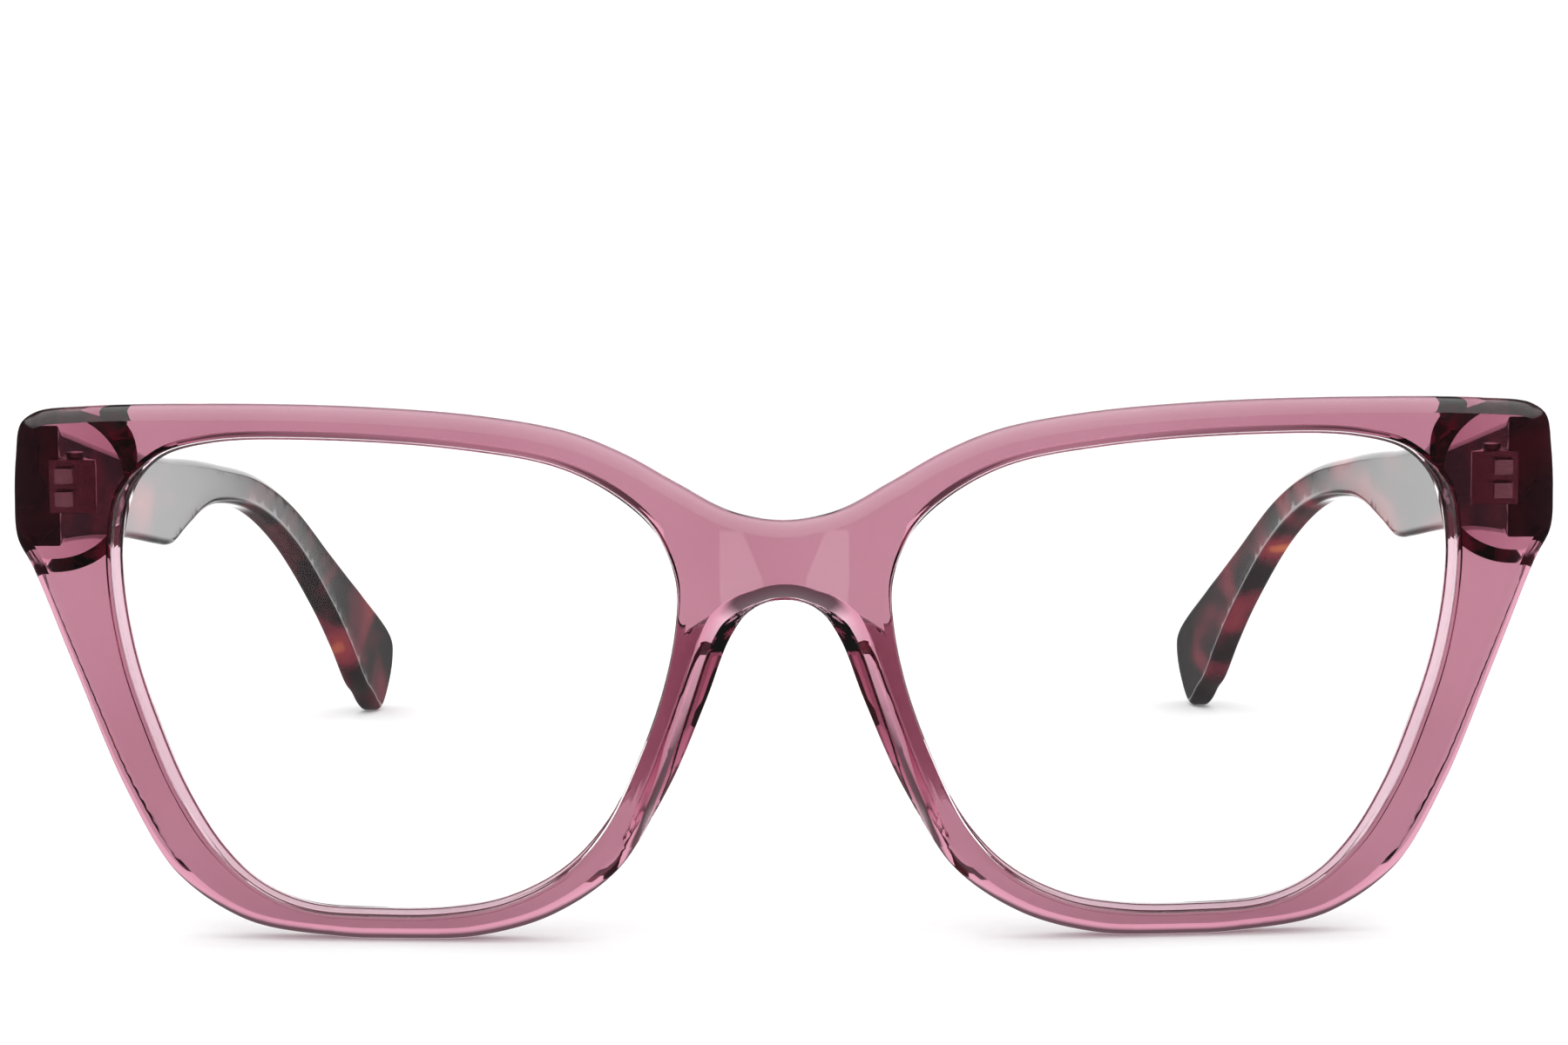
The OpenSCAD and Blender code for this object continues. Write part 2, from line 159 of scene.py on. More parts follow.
def even_stations(path: np.ndarray, spacing: float, closed: bool) -> np.ndarray:
    """Spreads stations evenly along a path.

    Args:
        path: Points along the path, one row each.
        spacing: Wanted distance between two stations.
        closed: Whether the path returns to its first point.

    Returns:
        The stations, with both ends of an open path.
    """
    run = np.concatenate([path, path[:1]]) if closed else path
    length = np.concatenate([[0], np.cumsum(np.linalg.norm(np.diff(run, axis=0), axis=1))])
    count = max(int(round(length[-1] / spacing)), 3)
    at = np.linspace(0, length[-1], count + 1)
    if closed:
        at = at[:-1]
    return np.stack([np.interp(at, length, run[:, k]) for k in range(run.shape[1])], axis=1)


def loop_normals(loop: np.ndarray, inwards: bool) -> np.ndarray:
    """Finds the unit normals of a closed loop.

    Args:
        loop: Points of the loop, one row each.
        inwards: Whether the normals point into the loop.

    Returns:
        One unit normal for each point.
    """
    ahead, behind = np.roll(loop, -1, axis=0), np.roll(loop, 1, axis=0)
    way = ahead - behind
    normal = np.stack([-way[:, 1], way[:, 0]], axis=1)
    area = np.sum(loop[:, 0] * ahead[:, 1] - ahead[:, 0] * loop[:, 1])
    normal *= 1 if (area > 0) == inwards else -1
    return normal / np.linalg.norm(normal, axis=1, keepdims=True)


def fade(value: np.ndarray | float) -> np.ndarray:
    """Smooth step of a value from 0 to 1, held at both ends."""
    t = np.clip(value, 0, 1)
    return t * t * (3 - 2 * t)


def inside(points: np.ndarray, loops: Sequence[np.ndarray]) -> np.ndarray:
    """Tests which points lie inside the area that loops bound together.

    Args:
        points: Points to test, one row each.
        loops: Closed loops, of the outline and of the holes in it.

    Returns:
        True for each point inside.
    """
    odd = np.zeros(len(points), bool)
    px, py = points[:, :1], points[:, 1:]
    for loop in loops:
        x0, y0 = loop[:, 0], loop[:, 1]
        x1, y1 = np.roll(x0, -1), np.roll(y0, -1)
        spans = (y0 > py) != (y1 > py)
        rise = np.where(y1 == y0, 1.0, y1 - y0)
        crossing = x0 + (py - y0) * (x1 - x0) / rise
        odd ^= (np.sum(spans & (px < crossing), axis=1) % 2).astype(bool)
    return odd


def clipped(guide: np.ndarray, loops: Sequence[np.ndarray], margin: float) -> list[np.ndarray]:
    """Cuts a line into the runs that stay inside an area and clear of its border.

    Args:
        guide: Points of the line, one row each.
        loops: Closed loops that bound the area.
        margin: Least distance from the border.

    Returns:
        The runs, each with two points or more.
    """
    border = np.concatenate(list(loops))
    clear = np.min(np.linalg.norm(guide[:, None] - border[None], axis=2), axis=1) > margin
    keep = inside(guide, loops) & clear
    runs = np.split(np.arange(len(guide)), np.flatnonzero(np.diff(keep.astype(int))) + 1)
    return [guide[run] for run in runs if keep[run[0]] and len(run) > 1]


def creased_round(first: float, count: int) -> tuple[np.ndarray, np.ndarray]:
    """Draws the section of a rounding that leaves its face with a crease.

    Args:
        first: Angle in degrees at which a quarter circle is joined; 0 leaves the face smoothly.
        count: Number of points.

    Returns:
        Share of the width that is left, from 1 to 0, and share of the depth, from 0 to 1.
    """
    turn = np.radians(np.linspace(first, 90, count))
    left = (1 - np.sin(turn)) / (1 - np.sin(turn[0]))
    deep = (np.cos(turn[0]) - np.cos(turn)) / np.cos(turn[0])
    return left, deep


def rounded_box_loop(low: tuple[float, float], high: tuple[float, float], radius: float,
                     spacing: float, corner_steps: int = 4) -> np.ndarray:
    """Draws a rectangle with round corners.

    Args:
        low: Lower left corner.
        high: Upper right corner.
        radius: Radius of the corners.
        spacing: Distance between two stations.
        corner_steps: Straight pieces in each corner before the stations are spread.

    Returns:
        Points of the closed loop.
    """
    corners = []
    centres = ((high[0], high[1]), (low[0], high[1]), (low[0], low[1]), (high[0], low[1]))
    for turn, (cx, cy) in enumerate(centres):
        mx = cx - math.copysign(radius, cx - (low[0] + high[0]) / 2)
        my = cy - math.copysign(radius, cy - (low[1] + high[1]) / 2)
        for step in range(corner_steps + 1):
            angle = math.radians(90 * turn + 90 * step / corner_steps)
            corners.append((mx + radius * math.cos(angle), my + radius * math.sin(angle)))
    return even_stations(np.array(corners), spacing, True)


class MeshBuild:
    """Collects points and faces in millimetres, and makes one object of them in metres."""

    # Least distance of a crease line from the border of its area
    guide_margin = 0.35
    # Least distance of an inside point from the border and the crease lines, as a share of the spacing
    grid_margin = 0.55
    # Angle in degrees above which an edge stays sharp
    sharp = 28.0

    def __init__(self, start_y: float) -> None:
        """Starts an empty mesh.

        Args:
            start_y: Place of the bridge's front face in the shared frame, in mm.
        """
        self.start_y = start_y
        self.points = np.zeros((0, 3))
        self.faces: list[tuple[int, ...]] = []
        self.creases: list[np.ndarray] = []

    def add(self, points: np.ndarray) -> np.ndarray:
        """Adds points.

        Args:
            points: Array whose last axis is X, Y and Z.

        Returns:
            Their numbers, in the shape of the given array without its last axis.
        """
        first = len(self.points)
        self.points = np.concatenate([self.points, points.reshape(-1, 3)])
        return np.arange(first, len(self.points)).reshape(points.shape[:-1])

    def bridge(self, rings: np.ndarray) -> None:
        """Joins each closed column of rings to the next one with quads.

        Args:
            rings: Numbers of the points, with a row for each station.
        """
        ahead = np.roll(rings, -1, axis=0)
        quads = np.stack([rings[:, :-1], ahead[:, :-1], ahead[:, 1:], rings[:, 1:]], axis=-1)
        self.faces += [tuple(q) for q in quads.reshape(-1, 4).tolist()]

    def wall(self, loop: np.ndarray, moved: np.ndarray) -> np.ndarray:
        """Adds a moved copy of a loop and joins both.

        Args:
            loop: Numbers of the loop's points.
            moved: Places of the copy's points.

        Returns:
            Numbers of the copy's points.
        """
        copy = self.add(moved)
        self.bridge(np.stack([loop, copy], axis=1))
        return copy

    def cap(self, loops: Sequence[np.ndarray], axes: tuple[int, int],
            lift: Callable[[np.ndarray], np.ndarray], spacing: float,
            guides: Sequence[np.ndarray] = ()) -> None:
        """Closes the area between loops with even triangles.

        Args:
            loops: Numbers of the points of each loop, the outline first.
            axes: The two directions in which the area is seen flat.
            lift: Gives the place in space of flat points.
            spacing: Distance between the points inside the area.
            guides: Flat polylines along which the surface has to crease.
        """
        flat_loops = [self.points[loop][:, list(axes)] for loop in loops]
        fixed = list(flat_loops)
        edges = []
        count = 0
        for loop in flat_loops:
            edges += [(count + i, count + (i + 1) % len(loop)) for i in range(len(loop))]
            count += len(loop)
        for guide in [run for guide in guides for run in clipped(guide, flat_loops, self.guide_margin)]:
            fixed.append(guide)
            edges += [(count + i, count + i + 1) for i in range(len(guide) - 1)]
            count += len(guide)
        held = np.concatenate(fixed)
        (x0, y0), (x1, y1) = held.min(axis=0), held.max(axis=0)
        row_step = spacing * math.sqrt(3) / 2
        rows = []
        for k, y in enumerate(np.arange(y0, y1, row_step)):
            across = np.arange(x0 + (k % 2) * spacing / 2, x1, spacing)
            rows.append(np.stack([across, np.full(len(across), y)], axis=1))
        grid = np.concatenate(rows)
        grid = grid[inside(grid, flat_loops)]
        if len(grid):
            nearest = np.min(np.linalg.norm(grid[:, None] - held[None], axis=2), axis=1)
            grid = grid[nearest > spacing * self.grid_margin]
        flat = np.concatenate([held, grid])
        out, _, triangles, origins, _, _ = delaunay_2d_cdt(
            [Vector(p) for p in flat.tolist()], edges, [], 0, 1e-6)
        out = np.array([tuple(p) for p in out])
        border = np.concatenate(list(loops))
        known = np.full(len(out), -1)
        for place, source in enumerate(origins):
            if source and source[0] < len(border):
                known[place] = border[source[0]]
        fresh = np.flatnonzero(known < 0)
        known[fresh] = self.add(lift(out[fresh]))
        corners = np.array(triangles)
        keep = inside(out[corners].mean(axis=1), flat_loops)
        self.faces += [tuple(t) for t in known[corners[keep]].tolist()]

    def make(self, name: str, side: Side = Side.RIGHT) -> bpy.types.Object:
        """Makes the object.

        Args:
            name: The object's name.
            side: Left mirrors the points in X.

        Returns:
            The new object, smooth shaded.
        """
        points = (self.points + [0, self.start_y, 0]) * [side.value * MM, MM, MM]
        mesh = bpy.data.meshes.new(name)
        mesh.from_pydata(points.tolist(), [], self.faces)
        shell = bmesh.new()
        shell.from_mesh(mesh)
        shell.verts.ensure_lookup_table()
        for loop in self.creases:
            for first, second in zip(loop, np.roll(loop, -1)):
                shell.edges.get((shell.verts[first], shell.verts[second])).smooth = False
        bmesh.ops.remove_doubles(shell, verts=shell.verts, dist=1e-7)
        bmesh.ops.dissolve_degenerate(shell, dist=1e-8, edges=shell.edges)
        bmesh.ops.recalc_face_normals(shell, faces=shell.faces)
        loose = [v for v in shell.verts if not v.link_faces]
        bmesh.ops.delete(shell, geom=loose, context="VERTS")
        for edge in shell.edges:
            if edge.calc_face_angle(0) > math.radians(self.sharp):
                edge.smooth = False
        shell.to_mesh(mesh)
        shell.free()
        mesh.shade_smooth()
        made = bpy.data.objects.new(name, mesh)
        bpy.context.scene.collection.objects.link(made)
        weighted = made.modifiers.new("even_shading", "WEIGHTED_NORMAL")
        weighted.keep_sharp = True
        return made


class Finish:
    """What all finishes share: each of them has a name and shades its own surface."""

    name: str

    def shade(self, tree: bpy.types.NodeTree, where: bpy.types.NodeSocket) -> Sockets:
        """Adds the finish's own nodes.

        Args:
            tree: Node tree of the material.
            where: Place on the object, in metres.

        Returns:
            The sockets that go to the material's output, by the output's inputs.
        """
        raise NotImplementedError

    def material(self) -> bpy.types.Material:
        """Makes the material.

        Returns:
            The new material.
        """
        made = bpy.data.materials.new(self.name)
        made.use_nodes = True
        tree = made.node_tree
        tree.nodes.clear()
        where = add_node(tree, "ShaderNodeTexCoord").outputs["Object"]
        add_node(tree, "ShaderNodeOutputMaterial", links=self.shade(tree, where))
        return made


@dataclass(frozen=True)
class TumbledCrystalAcetate(Finish):
    """Milled and tumbled crystal acetate: clear plum that deepens with its thickness, with a wet gloss."""

    name: str = "plum_crystal_acetate"
    surface_tint: str = "#f7f1f3"
    streak_tint: str = "#f0e5e9"
    depth_tint: str = "#ce85a5"
    depth_density: float = 500.0
    ior: float = 1.48
    roughness: float = 0.015
    # Length of the faint streaks that the pressed sheet keeps
    streak_mm: float = 18.0
    # Spacing and height of the waviness that tumbling leaves on the polish, and how much of it shows
    polish_mm: float = 5.0
    polish_high_mm: float = 0.02
    polish_strength: float = 0.04

    def shade(self, tree: bpy.types.NodeTree, where: bpy.types.NodeSocket) -> Sockets:
        """Adds a refracting surface over an absorbing inside.

        Args:
            tree: Node tree of the material.
            where: Place on the object, in metres.

        Returns:
            The sockets that go to the material's output.
        """
        streaks = add_node(tree, "ShaderNodeTexNoise", {"Scale": 1 / (self.streak_mm * MM), "Detail": 1.0},
                           {"Vector": where})
        tint = add_node(tree, "ShaderNodeValToRGB", links={"Fac": streaks.outputs["Fac"]},
                        stops=[(0.4, self.surface_tint), (0.65, self.streak_tint)])
        waves = add_node(tree, "ShaderNodeTexNoise", {"Scale": 1 / (self.polish_mm * MM), "Detail": 0.0},
                         {"Vector": where})
        bump = add_node(tree, "ShaderNodeBump",
                        {"Strength": self.polish_strength, "Distance": self.polish_high_mm * MM},
                        {"Height": waves.outputs["Fac"]})
        surface = add_node(tree, "ShaderNodeBsdfPrincipled",
                           {"Transmission Weight": 1.0, "IOR": self.ior, "Roughness": self.roughness},
                           {"Base Color": tint.outputs["Color"], "Normal": bump.outputs["Normal"]})
        depth = add_node(tree, "ShaderNodeVolumeAbsorption",
                         {"Color": linear(self.depth_tint), "Density": self.depth_density})
        return {"Surface": surface.outputs["BSDF"], "Volume": depth.outputs["Volume"]}


@dataclass(frozen=True)
class PolishedTortoiseAcetate(Finish):
    """Polished block acetate: near-black brown with red and amber flecks that lie along the temple."""

    name: str = "tortoise_block_acetate"
    fleck_length_mm: float = 13.0
    fleck_height_mm: float = 7.0
    ior: float = 1.49
    roughness: float = 0.08

    def shade(self, tree: bpy.types.NodeTree, where: bpy.types.NodeSocket) -> Sockets:
        """Adds a fleck pattern under a polished surface.

        Args:
            tree: Node tree of the material.
            where: Place on the object, in metres.

        Returns:
            The sockets that go to the material's output.
        """
        along, across = 1 / (self.fleck_length_mm * MM), 1 / (self.fleck_height_mm * MM)
        laid = add_node(tree, "ShaderNodeMapping", {"Scale": (across, along, across)}, {"Vector": where})
        flecks = add_node(tree, "ShaderNodeTexNoise",
                          {"Scale": 1.0, "Detail": 1.5, "Roughness": 0.45, "Distortion": 0.3},
                          {"Vector": laid.outputs["Vector"]})
        colour = add_node(tree, "ShaderNodeValToRGB", links={"Fac": flecks.outputs["Fac"]}, stops=[
            (0.0, "#120a0c"), (0.45, "#1b0b0f"), (0.54, "#4a1823"), (0.62, "#6c2231"),
            (0.72, "#823035"), (0.79, "#b8603f"), (0.9, "#dd9a5c")])
        surface = add_node(tree, "ShaderNodeBsdfPrincipled", {"IOR": self.ior, "Roughness": self.roughness},
                           {"Base Color": colour.outputs["Color"]})
        return {"Surface": surface.outputs["BSDF"]}


@dataclass(frozen=True)
class PolishedLensPlastic(Finish):
    """Polished clear demo lens: almost invisible face on, with a thin sheen at its edge."""

    name: str = "clear_lens_plastic"
    tint: str = "#ffffff"
    # Faintest cool tint that the plastic has in places, and how far apart they lie
    cool_tint: str = "#fdfdfe"
    haze_mm: float = 25.0
    # Matched to the picture, where the lens lays no veil over the temples; the plastic's own index is 1.5
    ior: float = 1.25
    roughness: float = 0.0

    def shade(self, tree: bpy.types.NodeTree, where: bpy.types.NodeSocket) -> Sockets:
        """Adds a clear refracting surface with the faintest unevenness in its tint.

        Args:
            tree: Node tree of the material.
            where: Place on the object, in metres.

        Returns:
            The sockets that go to the material's output.
        """
        haze = add_node(tree, "ShaderNodeTexNoise", {"Scale": 1 / (self.haze_mm * MM), "Detail": 0.0},
                        {"Vector": where})
        tint = add_node(tree, "ShaderNodeValToRGB", links={"Fac": haze.outputs["Fac"]},
                        stops=[(0.3, self.tint), (0.7, self.cool_tint)])
        surface = add_node(tree, "ShaderNodeBsdfPrincipled",
                           {"Transmission Weight": 1.0, "IOR": self.ior, "Roughness": self.roughness},
                           {"Base Color": tint.outputs["Color"]})
        return {"Surface": surface.outputs["BSDF"]}


@dataclass(frozen=True)
class BrushedMetal(Finish):
    """Brushed hinge metal or drawn wire: fine lines along the part that vary its colour and gloss."""

    name: str
    colour: str
    worn: str
    roughness: float
    # How much smoother and rougher than that it gets along the lines
    gloss_range: tuple[float, float] = (-0.03, 0.05)
    # The real grit's lines are 0.02 mm apart; drawn coarser so that they show
    line_mm: float = 0.25
    line_length_mm: float = 6.0

    def shade(self, tree: bpy.types.NodeTree, where: bpy.types.NodeSocket) -> Sockets:
        """Adds metal whose colour and gloss vary along fine lines.

        Args:
            tree: Node tree of the material.
            where: Place on the object, in metres.

        Returns:
            The sockets that go to the material's output.
        """
        along, across = 1 / (self.line_length_mm * MM), 1 / (self.line_mm * MM)
        laid = add_node(tree, "ShaderNodeMapping", {"Scale": (across, along, across)}, {"Vector": where})
        lines = add_node(tree, "ShaderNodeTexNoise", {"Scale": 1.0, "Detail": 2.0},
                         {"Vector": laid.outputs["Vector"]})
        colour = add_node(tree, "ShaderNodeValToRGB", links={"Fac": lines.outputs["Fac"]},
                          stops=[(0.3, self.worn), (0.7, self.colour)])
        smoothest, roughest = (self.roughness + change for change in self.gloss_range)
        gloss = add_node(tree, "ShaderNodeMapRange",
                         {"From Min": 0.3, "From Max": 0.7, "To Min": smoothest, "To Max": roughest},
                         {"Value": lines.outputs["Fac"]})
        surface = add_node(tree, "ShaderNodeBsdfPrincipled", {"Metallic": 1.0},
                           {"Base Color": colour.outputs["Color"], "Roughness": gloss.outputs["Result"]})
        return {"Surface": surface.outputs["BSDF"]}


@dataclass(frozen=True)
class MattSweepPaper(Finish):
    """Matt white sweep paper: it takes soft contact shadows and gives no gloss back."""

    name: str = "white_sweep_paper"
    colour: str = "#f6f6f6"
    # Lighter grain, too faint to see as a pattern, and its spacing
    grain_colour: str = "#f8f8f8"
    grain_mm: float = 2.0

    def shade(self, tree: bpy.types.NodeTree, where: bpy.types.NodeSocket) -> Sockets:
        """Adds white with a faint paper grain.

        Args:
            tree: Node tree of the material.
            where: Place on the object, in metres.

        Returns:
            The sockets that go to the material's output.
        """
        grain = add_node(tree, "ShaderNodeTexNoise", {"Scale": 1 / (self.grain_mm * MM)}, {"Vector": where})
        colour = add_node(tree, "ShaderNodeValToRGB", links={"Fac": grain.outputs["Fac"]},
                          stops=[(0.3, self.colour), (0.7, self.grain_colour)])
        surface = add_node(tree, "ShaderNodeBsdfPrincipled", {"Roughness": 0.9, "Specular IOR Level": 0.0},
                           {"Base Color": colour.outputs["Color"]})
        return {"Surface": surface.outputs["BSDF"]}


def dress(piece: bpy.types.Object, material: bpy.types.Material) -> None:
    """Gives a piece or a carried-over node one material in all its slots.

    Args:
        piece: Object to dress.
        material: Material that it gets.
    """
    if not piece.material_slots:
        piece.data.materials.append(material)
    for place in piece.material_slots:
        place.material = material


@dataclass
class FrontShape:
    """Sizes of the wrapped front, in mm, and the surfaces that its pieces share."""

    lens_w: float = 51.9
    lens_h: float = 44.3
    bridge_gap: float = 20.2
    end_w: float = 10.2
    foot_rim: float = 2.8
    brow_rim: float = 3.4
    rim_t: float = 4.0
    wrap_r: float = 450.0
    end_t: float = 4.4
    # Temple's butt end: how far below the front's top it starts, how high it is, and its gap to the front
    butt_down: float = 2.3
    butt_h: float = 11.4
    butt_gap: float = 0.1
    temple_reach: float = 137.6
    # Hinge boss: from the front's side to the middle of its round flat, and the flat's radius
    boss_mid: float = 3.6
    boss_r: float = 6.9
    # Width of the slope that leads up to the flat, under the hinge and above it, and the height over
    # which it grows from the one to the other
    boss_slope: float = 1.2
    boss_slope_up: float = 2.5
    boss_slope_rise: float = 6.0
    # How far the rim's front lip lies outside its rear lip: at the side, nose, top and foot of an opening
    side_lip: float = 0.9
    nose_lip: float = 0.1
    top_lip: float = 0.45
    foot_lip: float = 0.4
    # How level the edge is where the side or nose lip starts to become the top or foot lip, and over which
    # it does
    lip_turn: tuple[float, float] = (0.35, 0.5)
    # Pieces of a drawn curve between two of its points
    curve_steps: int = 12

    def __post_init__(self) -> None:
        """Works out what follows from the sizes."""
        self.half_w = self.bridge_gap / 2 + self.lens_w + self.end_w
        self.front_h = self.foot_rim + self.lens_h + self.brow_rim
        self.seat_y = float(self.wrapped(self.half_w)) + self.end_t
        self.butt_y = self.seat_y + self.butt_gap
        self.depth = self.butt_y + self.temple_reach
        self.butt_top = self.front_h - self.butt_down
        self.hinge_z = self.butt_top - self.butt_h / 2
        self.boss_x = self.half_w - self.boss_mid

    @property
    def start_y(self) -> float:
        """Place of the bridge's front face in the shared frame, in mm."""
        return -self.depth / 2

    def wrapped(self, x: np.ndarray | float, below: np.ndarray | float = 0.0) -> np.ndarray:
        """Depth at x of the wrapped face that lies below mm behind the front face."""
        return self.wrap_r - np.sqrt((self.wrap_r - below) ** 2 - np.square(x))

    def slope_width(self, up: np.ndarray) -> np.ndarray:
        """Width of the boss's slope at a height above the hinge."""
        return self.boss_slope + (self.boss_slope_up - self.boss_slope) * fade(up / self.boss_slope_rise)

    def on_face(self, below: float = 0.0) -> Callable[[np.ndarray], np.ndarray]:
        """Gives a function that places flat points on the wrapped face below mm behind the front face."""
        return lambda flat: np.stack([flat[:, 0], self.wrapped(flat[:, 0], below), flat[:, 1]], axis=1)

    def back(self, x: np.ndarray, z: np.ndarray) -> np.ndarray:
        """Finds the depth of the front's back face, with its two hinge bosses.

        Args:
            x: Places across.
            z: Heights.

        Returns:
            Depth at each place.
        """
        plain = self.wrapped(x, self.rim_t)
        up = z - self.hinge_z
        radius = np.hypot(np.maximum(self.boss_x - np.abs(x), 0), up)
        rise = np.clip(1 - (radius - self.boss_r) / self.slope_width(up), 0, 1)
        return plain + np.maximum(self.seat_y - plain, 0) * rise

    def opening(self, spacing: float) -> np.ndarray:
        """Draws the right lens opening.

        Args:
            spacing: Distance between two stations.

        Returns:
            Stations in X and Z.
        """
        shares = [
            (0.65, 1), (0.835, 0.993), (0.928, 0.96), (0.981, 0.888), (1, 0.79), (0.999, 0.68),
            (0.978, 0.533), (0.94, 0.393), (0.89, 0.252), (0.825, 0.128), (0.757, 0.053),
            (0.672, 0.011), (0.54, 0), (0.415, 0.004), (0.31, 0.028), (0.207, 0.091),
            (0.127, 0.193), (0.067, 0.335), (0.023, 0.48), (0.001, 0.613), (0, 0.706),
            (0.03, 0.795), (0.095, 0.871), (0.205, 0.94), (0.386, 0.98)]
        points = [(self.bridge_gap / 2 + a * self.lens_w, self.foot_rim + b * self.lens_h) for a, b in shares]
        return even_stations(smooth_curve(points, self.curve_steps, True), spacing, True)

    def lip(self, away: np.ndarray) -> np.ndarray:
        """Finds how far the front lip lies outside the right opening.

        Args:
            away: The opening's outward normals.

        Returns:
            Distance for each of them.
        """
        start, over = self.lip_turn
        lip = np.where(away[:, 0] > 0, self.side_lip, self.nose_lip)
        lip = lip + (self.top_lip - lip) * fade((away[:, 1] - start) / over)
        return lip + (self.foot_lip - lip) * fade((-away[:, 1] - start) / over)

    def outline(self, spacing: float) -> np.ndarray:
        """Draws the front's outline, from the middle of the nose arch.

        Args:
            spacing: Distance between two stations.

        Returns:
            Stations in X and Z.
        """
        brow = [
            (0.069, 0.802), (0.136, 0.853), (0.203, 0.907), (0.277, 0.949), (0.388, 0.978),
            (0.555, 0.996), (0.749, 1), (0.908, 0.994), (0.972, 0.983), (0.99, 0.962),
            (0.997, 0.903), (1, 0.82), (0.997, 0.749), (0.977, 0.693), (0.923, 0.499),
            (0.858, 0.273), (0.792, 0.117), (0.706, 0.032), (0.585, 0.003), (0.485, 0),
            (0.402, 0.006), (0.305, 0.046), (0.222, 0.129)]
        nose = [(1.099, 0.277), (0.733, 0.444), (0.505, 0.562), (0.317, 0.612)]
        side = [(a * self.half_w, b * self.front_h) for a, b in brow]
        side += [(a * self.bridge_gap / 2, b * self.front_h) for a, b in nose]
        arch_top, bridge_top = (0, 0.633 * self.front_h), (0, 0.784 * self.front_h)
        mirrored = [(-x, z) for x, z in reversed(side)]
        whole = smooth_curve([arch_top] + mirrored + [bridge_top] + side, self.curve_steps, True)
        whole[:, 1] = np.maximum(whole[:, 1], 0)
        return even_stations(whole, spacing, True)


